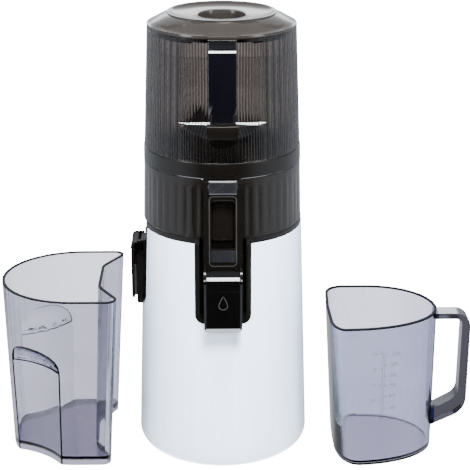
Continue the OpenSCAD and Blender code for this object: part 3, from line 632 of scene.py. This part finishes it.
def lever_chamfer(bm):
    """Raises the lever's head a little, and gives it the flat that a fingertip finds."""
    top = max(v.co.z for v in bm.verts if v.co.y < LEVER_FACE_Y * MM) / MM
    for vert in bm.verts:
        if vert.co.y < LEVER_HEAD_Y * MM and abs(vert.co.z / MM - top) < SAME_HEIGHT:
            vert.co.z = (top + LEVER_RAISE) * MM
    flat_from = top + LEVER_RAISE - SAME_HEIGHT
    cut_edges(bm, edges_where(bm, lambda x, y, z: y < LEVER_FACE_Y and z > flat_from), 3.0)


def latch_chamfers(bm):
    """Slopes the latch's front edges, top and bottom."""
    cut_edges(bm, edges_where(bm, lambda x, y, z: y < -85.5 and (z > 299.6 or z < 286.7)), 1.4)


dressed("lid_lever", black_lever, 0.8, first=lever_chamfer)
dressed("lever_bracket", black_trim, 1.8, segments=3)
dressed("drum_latch", dark_texture, 0.5, first=latch_chamfers)
print("rounded copies:", len(ROUNDED))

# %% [markdown]
# ## Juice cap
#
# The cap over the juice outlet is a polished block that hangs between two ears. Its front face has a
# narrow chamfer all round. Below, a wider slope faces down and out towards the table; above, the hinge
# block has a slope at forty-eight degrees that mirrors the soft box overhead as a clean white bar,
# which is how a photographer shows that a black part is polished. The column above the cap has a
# recessed window, with a thin raised frame in grey, a painted highlight for the light on its edges,
# and a sloping shelf at its foot.

# %% Juice cap
CAP_HALF = 17.8
CAP_FRONT = -95.8
CAP_BACK = -86.9
CAP_FOOT = 152.5
CAP_TOP = 203
CAP_CORNER = 7
CAP_CHAMFER = 2.0
CAP_SLOPE_Z = 159.1
CAP_SLOPE_NORMAL = (0, -0.824, -0.566)
HINGE_HALF = 15.5
HINGE_SIDE = [(CAP_FRONT - 0.05, 196), (CAP_FRONT - 0.05, 206.9), (-93.3, 209.2), (-91.5, 214.1),
              (-88, 214.2), (-85.4, 211), (-85.4, 205), (CAP_BACK, 196)]
DROPLET_PLACE = (0, CAP_FRONT + 0.02, 182.2)
DROPLET_HEIGHT = 15.0
DROPLET_RELIEF = 0.16
WINDOW_HALF, WINDOW_LOW, WINDOW_HIGH, WINDOW_CORNER = 9.0, 220.5, 281.5, 4.0
COLUMN_FACE = -83.95
FRAME_WIDTH = 1.1
FRAME_RELIEF = 0.35
SHELF_SIDE = [(-83.9, 232.5), (-84.0, 232.5), (-84.5, 221.0), (-83.9, 221.0)]
SHELF_HALF = 11.2


def droplet(bm, middle, height, depth):
    """Adds a raised drop outline, round below and pointed above, on a face that looks to the front."""
    radius = height * 0.3
    made = bmesh.ops.create_circle(bm, cap_ends=True, segments=32, radius=radius)["verts"]
    for vert in made:
        x, up = vert.co.x / radius, vert.co.y / radius
        rise = max(up, 0)
        vert.co = Vector((x * radius * (1 - rise) ** 0.35, 0, (up + rise * 1.1) * radius))
    face = made[0].link_faces[0]
    face.normal_update()
    bmesh.ops.inset_region(bm, faces=[face], thickness=0.2 * radius, use_even_offset=False,
                           use_boundary=True)
    bmesh.ops.delete(bm, geom=[face], context="FACES_ONLY")
    push(bm, bm.faces[:], (0, -depth, 0))
    bmesh.ops.scale(bm, vec=(MM, 1, MM), verts=bm.verts[:])
    bmesh.ops.translate(bm, vec=Vector(middle) * MM, verts=bm.verts[:])
    bmesh.ops.recalc_face_normals(bm, faces=bm.faces[:])


def make_cap():
    inner, low = CAP_HALF - CAP_CORNER, CAP_FOOT + CAP_CORNER
    foot = arc((-inner, low), CAP_CORNER, 180, 270, 6) + arc((inner, low), CAP_CORNER, 270, 360, 6)
    bm = prism(bmesh.new(), foot + [(CAP_HALF, CAP_TOP), (-CAP_HALF, CAP_TOP)], "Y", CAP_FRONT, CAP_BACK)
    rim = [e for e in edges_where(bm, lambda x, y, z: y < CAP_FRONT + 0.1)
           if not all(v.co.z > (CAP_TOP - 0.1) * MM for v in e.verts)]
    cut_edges(bm, rim, CAP_CHAMFER)
    slice_plane(bm, (0, CAP_FRONT, CAP_SLOPE_Z), CAP_SLOPE_NORMAL, clear_outer=True)
    hinge = prism(bmesh.new(), HINGE_SIDE, "X", -HINGE_HALF, HINGE_HALF)
    round_edges(hinge, 0.3, 80, 1)
    mark = bmesh.new()
    droplet(mark, DROPLET_PLACE, DROPLET_HEIGHT, DROPLET_RELIEF)
    for name, shape, material in (("body", bm, black_gloss), ("hinge", hinge, black_gloss),
                                  ("droplet", mark, grey_mark_and_glint)):
        piece("juice_cap_" + name, shape, material, "juice_cap", 20)


def window_trim():
    """The raised frame round the column's window, grey as a painted highlight on its edges, and the sloping shelf at
    its foot.
    """
    edge = bmesh.new()
    outline = []
    for x, z, start_deg in ((WINDOW_HALF, WINDOW_HIGH, 0), (-WINDOW_HALF, WINDOW_HIGH, 90),
                            (-WINDOW_HALF, WINDOW_LOW, 180), (WINDOW_HALF, WINDOW_LOW, 270)):
        outline += arc((x, z), WINDOW_CORNER, start_deg, start_deg + 90, 6)
    face = edge.faces.new([edge.verts.new(Vector((x, COLUMN_FACE, z)) * MM) for x, z in outline])
    face.normal_update()
    bmesh.ops.inset_region(edge, faces=[face], thickness=FRAME_WIDTH * MM, use_even_offset=True,
                           use_boundary=True)
    bmesh.ops.delete(edge, geom=[face], context="FACES_ONLY")
    push(edge, edge.faces[:], (0, -FRAME_RELIEF, 0))
    bmesh.ops.recalc_face_normals(edge, faces=edge.faces[:])
    shelf = prism(bmesh.new(), SHELF_SIDE, "X", -SHELF_HALF, SHELF_HALF)
    # The frame's grey is a painted highlight.
    for name, bm, material in (("window_frame", edge, grey_mark_and_glint), ("window_shelf", shelf, dark_texture)):
        piece(name, bm, material, "juice_column", 20)


make_cap()
window_trim()
print("cap pieces made")

# %% [markdown]
# ## Containers
#
# Both containers are clear mouldings of one wall thickness. A moulded rim is never square: it is
# rounded over, and light that enters there is lost on its way down the wall, so a dark line runs along
# it. That line is painted shade, a near-black finish on the rim. The faces of the rim, the floor, the
# foot and the roofs of the two grip hollows each take a finish of their own. The floor and the foot are
# the clear plastic with a darker tint, which is painted shade for the table in the container's shadow,
# and the jug's foot takes the rim's painted shade. The jug's handle is far thicker than its wall, so it
# is a separate piece of a paler plastic, because a real handle is cored out inside. Its scale is printed
# in short straight strokes that lie on the curved wall.

# %% Containers
BIN_RIM = 175
JUG_RIM = 148
RIM_ROUND = 1.2
EDGE_ROUND = 0.7
SHARP = 0.6
HANDLE_X = 213.0
HANDLE_GAP = 0.1
RIM, FLOOR, GRIP, FOOT = 1, 2, 3, 4
GRIP_LOW, GRIP_HIGH = 85, 130
FLOOR_HIGH = 12


def container(node, rim_mm):
    """A container with a rounded rim and softened edges."""
    bm = merged_copy(node)
    rim = [e for e in edges_where(bm, lambda x, y, z: z > rim_mm - 0.05) if e.calc_face_angle(0) > SHARP]
    cut_edges(bm, rim, RIM_ROUND, 2)
    rest = [e for e in bm.edges if e.calc_face_angle(0) > SHARP and e.verts[0].co.z < (rim_mm - 1.4) * MM]
    cut_edges(bm, rest, EDGE_ROUND, 2)
    return bm


def finish_of(face, rim_from, foot_mm, foot):
    """The material slot of a container's face, by where it lies and which way it looks."""
    middle, up = face.calc_center_median() / MM, face.normal.z
    if middle.z > rim_from:
        return RIM
    if middle.z < foot_mm and abs(up) < 0.5:
        return FOOT if foot else RIM
    if up > 0.9 and middle.z < FLOOR_HIGH:
        return FLOOR
    if abs(up) > 0.12 and GRIP_LOW < middle.z < GRIP_HIGH and middle.x < 0:
        return GRIP
    return 0


def add_piece(name, bm, material, node, rim_mm=None, band=1.7, foot_mm=2.0, foot=None):
    """A piece for a node; a rim's height tells that it is a container, with a rim so wide."""
    if rim_mm:
        for height in (rim_mm - band, foot_mm):
            slice_plane(bm, (0, 0, height), (0, 0, 1))
        bm.normal_update()
        for face in bm.faces:
            face.material_index = finish_of(face, rim_mm - band, foot_mm, foot)
    made = piece(name, bm, material, node, 14)
    # The rim, floor and foot finishes are painted shade; the jug's foot takes the rim's.
    for extra in (rim_painted_shade, floor_shade_clear, grip_clear, foot or rim_painted_shade) if rim_mm else ():
        made.data.materials.append(extra)


jug_body, jug_handle = container("juice_jug", JUG_RIM), container("juice_jug", JUG_RIM)
slice_plane(jug_body, (HANDLE_X, 0, 0), (1, 0, 0), clear_outer=True)
slice_plane(jug_handle, (HANDLE_X + HANDLE_GAP, 0, 0), (1, 0, 0), clear_inner=True)
print("jug open edges:", sum(e.is_boundary for e in jug_body.edges[:] + jug_handle.edges[:]))
add_piece("pulp_container_moulding", container("pulp_container", BIN_RIM), bin_clear, "pulp_container",
          BIN_RIM, 1.3, 6.4, foot_shade_clear)
add_piece("jug_body", jug_body, jug_clear, "juice_jug", JUG_RIM)
add_piece("jug_handle", jug_handle, handle_clear, "juice_jug")


def jug_front_y(x, z):
    """Where the jug's front wall is at X and height Z."""
    t = z / JUG_RIM
    middle_x, half_x, half_y = 128 - 8 * t, 83 + 8.5 * t, 53 + 4.5 * t
    return -16 - half_y * math.sqrt(1 - ((x - middle_x) / half_x) ** 2)


# A digit is drawn with up to seven straight bars, as on a calculator: where each bar runs, as shares
# of the digit's width and height, and which bars a digit leaves out.
BARS = {"top": (0, 1, 1, 1), "middle": (0, 0.5, 1, 0.5), "foot": (0, 0, 1, 0), "upper left": (0, 0.5, 0, 1),
        "upper right": (1, 0.5, 1, 1), "lower left": (0, 0, 0, 0.5), "lower right": (1, 0, 1, 0.5)}
LEFT_OUT = {"0": ["middle"], "1": ["top", "middle", "foot", "upper left", "lower left"],
            "2": ["upper left", "lower right"], "3": ["upper left", "lower left"],
            "5": ["upper right", "lower left"], "6": ["upper right"],
            "7": ["middle", "foot", "upper left", "lower left"], "8": [], "9": ["lower left"]}


DIGIT_WIDTH, DIGIT_HEIGHT, DIGIT_STEP = 1.3, 2.8, 2.3
HALF_STROKE = 0.15
MILLILITRES = {"1000": 118.7, "900": 107.9, "800": 96, "700": 85.4, "600": 74.4, "500": 61.6}
OUNCES = {"35": 121, "30": 104.4, "25": 87.7, "20": 70.9}
INK_RELIEF = 0.12


def number_lines(number, x, z):
    """The strokes of a number whose first digit starts at X, centred on height Z, as lines in mm."""
    lines = []
    for place, digit in enumerate(number):
        left, low = x + place * DIGIT_STEP, z - DIGIT_HEIGHT / 2
        for bar, (x0, z0, x1, z1) in BARS.items():
            if bar not in LEFT_OUT[digit]:
                lines.append(((left + x0 * DIGIT_WIDTH - HALF_STROKE, low + z0 * DIGIT_HEIGHT - HALF_STROKE),
                              (left + x1 * DIGIT_WIDTH + HALF_STROKE, low + z1 * DIGIT_HEIGHT + HALF_STROKE)))
    return lines


def scale_marks():
    # The printed scale: two thin uprights with short lines and numbers at both sides.
    bm = bmesh.new()
    lines = [((x, 48.7), (x + 0.4, 121.6)) for x in (153.6, 155.6)]
    for marks, tick_x, number_x in ((MILLILITRES, 156.0, 162), (OUNCES, 150.6, 144)):
        for number, z in marks.items():
            lines.append(((tick_x, z - 0.2), (tick_x + 3.0, z + 0.2)))
            lines += number_lines(number, number_x, z)
    for (x0, z0), (x1, z1) in lines:
        steps = max(1, round((z1 - z0) / 12))
        for k in range(steps):
            a, b = z0 + (z1 - z0) * k / steps, z0 + (z1 - z0) * (k + 1) / steps
            y = jug_front_y((x0 + x1) / 2, (a + b) / 2)
            box_piece(bm, (x0, y - INK_RELIEF, a), (x1, y + 0.02, b))
    return bm


add_piece("jug_scale", scale_marks(), scale_ink, "juice_jug")
print("containers done")

# %% [markdown]
# ## Inner parts
#
# Parts inside the base and the drum are plain turned, stamped or moulded pieces, so the
# construction's own shapes are right and only need their finish.

# %% Inner parts
PLAIN = {
    zinc_steel: ["cover_screws", "gearbox_screws"],
    sheet_steel: ["motor_can"],
    laminations: ["motor_rotor"],
    dark_texture: ["cooling_fan"],
    cast_alloy: ["gearbox_tray", "gearbox_cover"],
    nylon: ["intermediate_gear", "output_gear", "interlock_plunger"],
    ground_steel: ["intermediate_axle", "drive_shaft", "auger_socket", "lid_hinge_pin",
                   "plunger_spring"],
    dark_pin: ["cap_pin", "flap_pin", "latch_pin", "lever_pin"],
    bronze: ["drive_bush"],
    silicone: ["deck_seal", "drum_seal", "cap_seal", "hopper_seal"],
    dark_silicone: ["flap_seal", "lid_seal"],
    board_resin: ["control_board"],
    red_resin: ["interlock_switch"],
    auger_resin: ["auger", "strainer"],
}
for material, names in PLAIN.items():
    for name in names:
        node = frame["nodes"][name]
        if not node.material_slots:
            node.data.materials.append(material)
        for holder in node.material_slots:
            holder.material = material
print("plain parts:", sum(len(names) for names in PLAIN.values()))

# %% [markdown]
# ## A shell from a grid
#
# The hopper, drum and lid are thin walls that go once round the axis. Each is made from one flat
# grid: its columns are bent round the axis, and its rows follow the wall's closed section, up the
# outside and down the inside. A function says where the section runs at each angle, so ribs, a flat
# panel or a notch need nothing but arithmetic, and the wall always stays closed.

# %% A shell from a grid
def shell(angles, section, painted_valley_shade=None):
    """A closed shell; section(angle, number) is its closed outline there, radius and height in mm."""
    sections = [section(angle, number) for number, angle in enumerate(angles)]
    columns, rows = len(angles), len(sections[0])
    bm = bmesh.new()
    valley = bm.verts.layers.float.new("valley")
    bmesh.ops.create_grid(bm, x_segments=columns, y_segments=rows, size=0.5)
    for vert in bm.verts:
        column = round((vert.co.x + 0.5) * columns) % columns
        row = round((vert.co.y + 0.5) * rows) % rows
        angle, (radius, height) = angles[column], sections[column][row]
        vert.co = Vector((radius * math.cos(angle), radius * math.sin(angle), height)) * MM
        # Each point keeps its painted valley shade, 0 to 1, for the clear plastic's material.
        vert[valley] = painted_valley_shade(angle, column) if painted_valley_shade else 0
    bmesh.ops.remove_doubles(bm, verts=bm.verts[:], dist=0.001 * MM)
    bmesh.ops.recalc_face_normals(bm, faces=bm.faces[:])
    return bm


def even(count, low=0.0, high=2 * math.pi):
    """So many angles evenly spread from low up to high, which isn't one of them."""
    return [low + (high - low) * k / count for k in range(count)]


def rib(phase, width, depth):
    """How far a wall of rounded ribs with sharp valleys lies below its crests; phase 0 is a valley."""
    bend = (width ** 2 / 4 + depth ** 2) / (2 * depth)
    return bend - math.sqrt(bend ** 2 - ((phase % 1 - 0.5) * width) ** 2)


# %% [markdown]
# ## Hopper
#
# The hopper is a tall tapered cup. Fine upright ribs cover it, and on the round part every third
# valley is deeper, so that seen from the side they gather into broad bands. In front a flat panel is
# set back for the lid lever, with a ledge below it like a small windowsill. The ledge begins with a
# narrow lip that slopes at forty-four degrees and has no ribs, so it mirrors the overhead soft box as
# one bright line; below the lip it falls away more steeply, into the dark. Each point of the wall also
# carries a painted shade value: a thin line in each valley and, on the round part, broad bands every
# third rib. The clear plastic's material turns that value into a dull tint, which is painted shade for
# the dark lines and bands that the ribs refract and mirror.

# %% Hopper
RIB_WIDTH = 2.71
RIB_STEPS = 6
PANEL_RIBS = 28
ROUND_RIBS = 138
RIB_DEPTH = 0.24
FLUTE_DEPTH = 0.14
WALL = 2.5
FLAT = 61.5
HOPPER_RIM = 426.5
INNER_STEP = 408.0
STEP_THINNER = 0.4
LEDGE_TOP = 348.7
LIP_SLOPE = 0.97
LIP_DEPTH = 2.3
LEDGE_SLOPE = 1.25
RECESS_TOP = 423.5
SLOT_HALF_WIDTH = 13.4
SLOT_DEPTH = 63.0
hopper_low, hopper_high = box_mm("hopper")
hopper_foot_r = hopper_high.x
hopper_rim_r = box_mm("lid")[1].x


def hopper_radius(z):
    """The radius of the tapered wall's outside at a height."""
    return hopper_foot_r - (z - hopper_low.z) * (hopper_foot_r - hopper_rim_r) / (HOPPER_RIM - hopper_low.z)


def hopper_angles():
    """Evenly spaced across the flat panel, and evenly spread round the rest."""
    half = PANEL_RIBS * RIB_STEPS // 2
    panel = [-math.pi / 2 + math.atan(k * RIB_WIDTH / RIB_STEPS / FLAT) for k in range(-half, half)]
    end = math.pi / 2 + panel[0]
    return panel + even(ROUND_RIBS * RIB_STEPS, -math.pi / 2 - end, 1.5 * math.pi + end)


def hopper_valley_shade(angle, number):
    """How much painted shade a place takes, 0 to 1: a thin line in each valley and, on the round part, broad bands
    every third rib; in front only, because behind it wouldn't be seen.
    """
    fine = abs((number / RIB_STEPS) % 1 - 0.5) * 2
    since = number / RIB_STEPS - PANEL_RIBS
    broad = 0.5 - 0.5 * math.cos(2 * math.pi * since / 3) if since > 0 else 0
    return max(fine ** 3, 0.9 * broad) if -math.sin(angle) > -0.1 else 0


def hopper_section(angle, number):
    """The wall's closed outline at an angle: up the outside, then down the inside."""
    ahead = -math.sin(angle)
    front = max(ahead, 1e-3)
    ribbed = ahead > -0.1
    since = number / RIB_STEPS - PANEL_RIBS
    fine = rib(number / RIB_STEPS, RIB_WIDTH, RIB_DEPTH) if ribbed else 0
    ribs = fine + (rib(since / 3, 3 * RIB_WIDTH, FLUTE_DEPTH) if since > 0 and ribbed else 0)
    panel_r = FLAT / front
    outer = [(hopper_radius(hopper_low.z) - ribs, hopper_low.z)]
    if ahead > 0 and panel_r < hopper_radius(LEDGE_TOP):
        cone_r = hopper_radius(LEDGE_TOP - 8) - ribs
        out = max(cone_r * front - FLAT, 0.1)
        lip = min(LIP_DEPTH, out / 2)
        lip_z = LEDGE_TOP - LIP_SLOPE * lip
        flat_ribs = min(fine, hopper_radius(LEDGE_TOP) - panel_r)
        outer += [(cone_r, lip_z - LEDGE_SLOPE * (out - lip)), ((FLAT + lip) / front, lip_z),
                  (panel_r - 0.02, LEDGE_TOP), (panel_r - flat_ribs, LEDGE_TOP + 0.4),
                  (min(panel_r, hopper_radius(RECESS_TOP)) - flat_ribs, RECESS_TOP)]
    else:
        for z in (LEDGE_TOP - 0.9, LEDGE_TOP - 0.6, LEDGE_TOP - 0.3, LEDGE_TOP, RECESS_TOP - 0.3):
            outer.append((hopper_radius(z) - ribs, z))
    slot = ahead > 0 and hopper_rim_r * abs(math.cos(angle)) < SLOT_HALF_WIDTH
    for z in (RECESS_TOP, HOPPER_RIM):
        outer.append((SLOT_DEPTH / front if slot else hopper_radius(z) - ribs * 0.5, z))
    inner = []
    inner_panel = (FLAT - WALL) / front
    low = LEDGE_TOP - 1.0
    for z, thinner in ((HOPPER_RIM, STEP_THINNER), (RECESS_TOP, STEP_THINNER),
                       (INNER_STEP + 0.4, STEP_THINNER), (INNER_STEP, 0), (low, 0)):
        wall_r = hopper_radius(z) - WALL + thinner
        flat_r = inner_panel + thinner / front
        inner.append((min(wall_r, flat_r) if ahead > 0 else wall_r, z))
    wall_r = hopper_radius(LEDGE_TOP - 10) - WALL
    if ahead > 0 and inner_panel < wall_r:
        low -= 1.1 * (wall_r * front - FLAT + WALL)
    inner += [(wall_r, low - 0.3), (hopper_radius(hopper_low.z) - WALL, hopper_low.z)]
    return outer + inner


def hinge_ears(bm, half_gap, width, inner_y):
    """Two ears beside each other that carry a hinge pin, each a barrel on a short block."""
    low, high = box_mm("lid_hinge_pin")
    _, pin_y, pin_z = (low + high) / 2
    for side in (-1, 1):
        middle = side * (half_gap + width / 2)
        barrel(bm, (middle, pin_y, pin_z), "X", 4, width)
        box_piece(bm, (middle - width / 2, inner_y, pin_z - 12), (middle + width / 2, pin_y, pin_z - 1))


def make_hopper():
    bm = shell(hopper_angles(), hopper_section, hopper_valley_shade)
    hopper = piece("ribbed_hopper", bm, smoke_clear, "hopper", 30)
    ears = bmesh.new()
    hinge_ears(ears, 12.0, 10.0, 69.5)
    round_edges(ears, 0.5, 60)
    piece("hopper_hinge_ears", ears, smoke_clear, "hopper")
    guide = bmesh.new()
    box_piece(guide, (-17.7, -64.2, 314.5), (18.5, -62.6, 335.0))
    piece("rod_guide_cover", guide, black_trim, "rod_channel")
    return hopper


hopper = make_hopper()
print("hopper faces:", len(hopper.data.polygons))

# %% [markdown]
# ## Drum
#
# The drum's upper part is a wide skirt with broad flutes, the tint deeper than the hopper's. Below
# it is the bowl that drops into the base, with two short square noses: the juice nose in front and
# the pulp nose at the left. Flutes are shallow grooves, and the last few millimetres under the rim
# are left plain for the seal. The pulp flap hangs on a pin between two ears of the pulp nose.

# %% Drum
DRUM_FLUTES = 48
DRUM_FLUTE_DEPTH = 0.45
BOWL_R = 62.0
BOWL_FLOOR = 3.0
DRUM_HOLE_R = 12.0
DRUM_RIM_R = 74.9
SKIRT_FOOT = 240.2
FLUTE_MIDDLE = 265
FLUTE_TOP = 289
COLUMN_HALF_DEG = 16
drum_low, drum_high = box_mm("drum")
drum_foot_r = drum_high.x
NOSE_LOW, NOSE_HIGH = (-15.5, -84, 153), (15.5, -59, 205)
MOUTH_HALF = 9
MOUTH_LOW = 163
MOUTH_DEPTH = 22


def skirt(z, less=0.0):
    """A point of the skirt's outside at a height, or so much nearer the axis."""
    radius = drum_foot_r - (z - SKIRT_FOOT) * (drum_foot_r - DRUM_RIM_R) / (drum_high.z - SKIRT_FOOT)
    return radius - less, z


def drum_section(angle, number):
    """The drum's closed outline at an angle; behind the juice column it has no flutes."""
    flute = DRUM_FLUTE_DEPTH * (0.5 - 0.5 * math.cos(DRUM_FLUTES * angle)) ** 1.5
    if math.cos(angle + math.pi / 2) > math.cos(math.radians(COLUMN_HALF_DEG)):
        flute = 0
    foot, top, low, floor = SKIRT_FOOT, drum_high.z, drum_low.z, drum_low.z + BOWL_FLOOR
    return [
        skirt(foot, 0.2), skirt(foot + 1), skirt(foot + 2.4), skirt(foot + 4, flute),
        skirt(FLUTE_MIDDLE, flute), skirt(FLUTE_TOP, flute), skirt(FLUTE_TOP + 2.2),
        skirt(top - 0.4), skirt(top, 0.4), skirt(top, WALL), skirt(foot + WALL + 1, WALL),
        skirt(foot + WALL, WALL + 1), (BOWL_R - WALL, foot + WALL),
        (BOWL_R - WALL, floor + 2), (BOWL_R - WALL - 2, floor), (DRUM_HOLE_R, floor),
        (DRUM_HOLE_R, low), (BOWL_R - 2.5, low), (BOWL_R, low + 2.5), (BOWL_R, foot),
    ]


def nose(bm, turn, mouth_top):
    """A square spout from the bowl to the front, with its mouth sunk into its end."""
    part = bmesh.new()
    box_piece(part, NOSE_LOW, NOSE_HIGH)
    for x in (-MOUTH_HALF, MOUTH_HALF):
        slice_plane(part, (x, 0, 0), (1, 0, 0))
    for z in (MOUTH_LOW, mouth_top):
        slice_plane(part, (0, 0, z), (0, 0, 1))
    centre = Vector((0, NOSE_LOW[1], 172)) * MM
    mouth = min(part.faces, key=lambda f: (f.calc_center_median() - centre).length)
    push(part, [mouth], (0, MOUTH_DEPTH, 0))
    bmesh.ops.delete(part, geom=[mouth], context="FACES")
    bmesh.ops.recalc_face_normals(part, faces=part.faces[:])
    round_edges(part, 0.6, 60)
    bmesh.ops.rotate(part, cent=(0, 0, 0), matrix=Matrix.Rotation(turn, 3, "Z"), verts=part.verts[:])
    spare = mesh_of("spare", part)
    bm.from_mesh(spare)
    bpy.data.meshes.remove(spare)


def flap_ears(bm):
    """The shelf on the pulp nose and the two ears that hold the flap's pin."""
    low, high = box_mm("flap_pin")
    pin_x, _, pin_z = (low + high) / 2
    for side in (-1, 1):
        y = side * (high.y - 1)
        barrel(bm, (pin_x, y, pin_z), "Y", 4.5, 2)
        box_piece(bm, (pin_x, y - 1, pin_z - 4.5), (pin_x + 8, y + 1, pin_z + 4.5))
    box_piece(bm, (-79, -17.8, 205.5), (-62, 4, 219.5))
    box_piece(bm, (-83, -17.8, 209), (-78, -14, 219.0))


def make_drum():
    bm = shell(even(DRUM_FLUTES * 16), drum_section)
    drum = piece("fluted_drum", bm, drum_clear, "drum", 34)
    noses = bmesh.new()
    nose(noses, 0, 181)
    nose(noses, -math.pi / 2, 189)
    flap_ears(noses)
    piece("drum_noses", noses, matt_black, "drum", 30)
    seams = bmesh.new()
    for x, width in ((-28.0, 0.7), (-19.0, 1.2), (18.7, 1.2)):
        box_piece(seams, (x - width / 2, -70.6 if x < -20 else -74.0, 241.5), (x + width / 2, -66, 289.5))
    piece("drum_seams", seams, black_trim, "drum")
    return drum


def make_flap_seat():
    # The seal's carrier on the flap: it closes the gap between the flap and the nose.
    bm = bmesh.new()
    box_piece(bm, (-86.5, -13, 196), (-84.1, 13, 210))
    piece("flap_seal_carrier", bm, matt_black, "pulp_flap")


drum = make_drum()
make_flap_seat()
print("drum faces:", len(drum.data.polygons))

# %% [markdown]
# ## Lid
#
# The lid is a low dome with a raised ring round a shallow dish, and the feed hole in the dish. Two
# soft creases run from the sides towards the front tab. The dome is a shell again; the creases are a
# small step in its height, blended out at both ends.

# %% Lid
CREASE = [(12, -27), (20, -33), (35, -46), (48, -41), (60, -27)]
CREASE_STEP = 1.1
CREASE_BLEND = 8
LID_RIM = 426.8
FEED_R = 22.3
RIDGE_R = 49.8
SKIRT_IN, SKIRT_OUT, LID_SKIRT_FOOT = 64.6, 66.9, 421.5
TAB_HALF = 13.3
lid_low, lid_high = box_mm("lid")


def crease_y(x):
    """Where the crease runs, as Y over the distance from the middle."""
    for (x0, y0), (x1, y1) in zip(CREASE, CREASE[1:]):
        if x0 <= x <= x1:
            t = (x - x0) / (x1 - x0)
            return y0 + (y1 - y0) * (3 * t * t - 2 * t ** 3)
    return None


def crease_drop(radius, angle):
    """How far the dome is lowered behind a crease."""
    x, y = abs(radius * math.cos(angle)), radius * math.sin(angle)
    line = crease_y(x)
    if line is None or y > 0:
        return 0
    ends = min((x - CREASE[0][0]) / CREASE_BLEND, (CREASE[-1][0] - x) / CREASE_BLEND, 1)
    return CREASE_STEP * ends * min(max((line - y) / 1.6, 0), 1) * min(max((70 - radius) / 4, 0), 1)


def lid_section(angle, number):
    """The lid's closed outline at an angle: rim, dome, ridge, dish, feed hole, then the underside."""
    top, rim, rim_z = lid_high.z, hopper_rim_r, LID_RIM
    outer = [(rim, rim_z), (rim, rim_z + 1.4), (rim - 0.3, rim_z + 2.6), (rim - 1.6, rim_z + 3.0)]
    steps = 18
    for i in range(1, steps + 1):
        t = i / steps
        radius = rim - 1.6 - (rim - 1.6 - RIDGE_R - 1.4) * t
        height = rim_z + 3.0 + (top - 1.6 - rim_z - 3.0) * (1 - (1 - t) ** 1.25)
        outer.append((radius, height - crease_drop(radius, angle)))
    outer += [(RIDGE_R + 1.3, top - 0.12), (RIDGE_R + 0.6, top), (RIDGE_R - 0.7, top),
              (RIDGE_R - 1.5, top - 0.3), (RIDGE_R - 2.2, top - 1.0), (44, top - 2.4), (38, top - 3.3),
              (30, top - 3.7), (FEED_R + 1.2, top - 3.7), (FEED_R + 0.3, top - 4.0), (FEED_R, top - 4.8)]
    front = -math.sin(angle) * SKIRT_IN > 58.6
    foot = rim_z - 0.2 if front else LID_SKIRT_FOOT
    under = [(FEED_R, rim_z - 0.4), (FEED_R - 2.4, rim_z - 0.4), (FEED_R - 2.4, 424), (FEED_R + 2.2, 424),
             (FEED_R + 2.4, top - 6.2), (38, top - 5.6), (48, top - 4.6), (56, top - 6.5),
             (SKIRT_IN, rim_z + 1.3), (SKIRT_IN, foot), (SKIRT_OUT, foot), (SKIRT_OUT, rim_z)]
    return outer + under


def make_lid():
    bm = shell(even(360), lid_section)
    lid = piece("domed_lid", bm, lid_clear, "lid", 30)
    extras = bmesh.new()
    tab_r = -lid_low.y
    box_piece(extras, (-TAB_HALF, -tab_r, 426.1), (TAB_HALF, -tab_r + 3.4, 429.7))
    box_piece(extras, (-11.7, 68.6, 426.9), (11.7, 76.5, 429.4))
    pin_low, pin_high = box_mm("lid_hinge_pin")
    barrel(extras, (0, (pin_low.y + pin_high.y) / 2, (pin_low.z + pin_high.z) / 2), "X", 3.6, 23.4, 40)
    round_edges(extras, 0.5, 60)
    piece("lid_tab_and_knuckle", extras, lid_clear, "lid")
    return lid


lid = make_lid()
print("lid faces:", len(lid.data.polygons))

# %% [markdown]
# ## Measure and finish
#
# A box is drawn round the construction before anything is added, and round everything at the end. The
# two should agree to a fraction of a millimetre, because the looks never resize the machine.

# %% Measure and finish
visual_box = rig.bounds()
os.makedirs(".", exist_ok=True)
with open("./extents.json", "w") as out:
    json.dump({"cad": [list(c) for c in cad_box], "visual": [list(c) for c in visual_box]}, out)
print("pieces:", len(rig.pieces()))
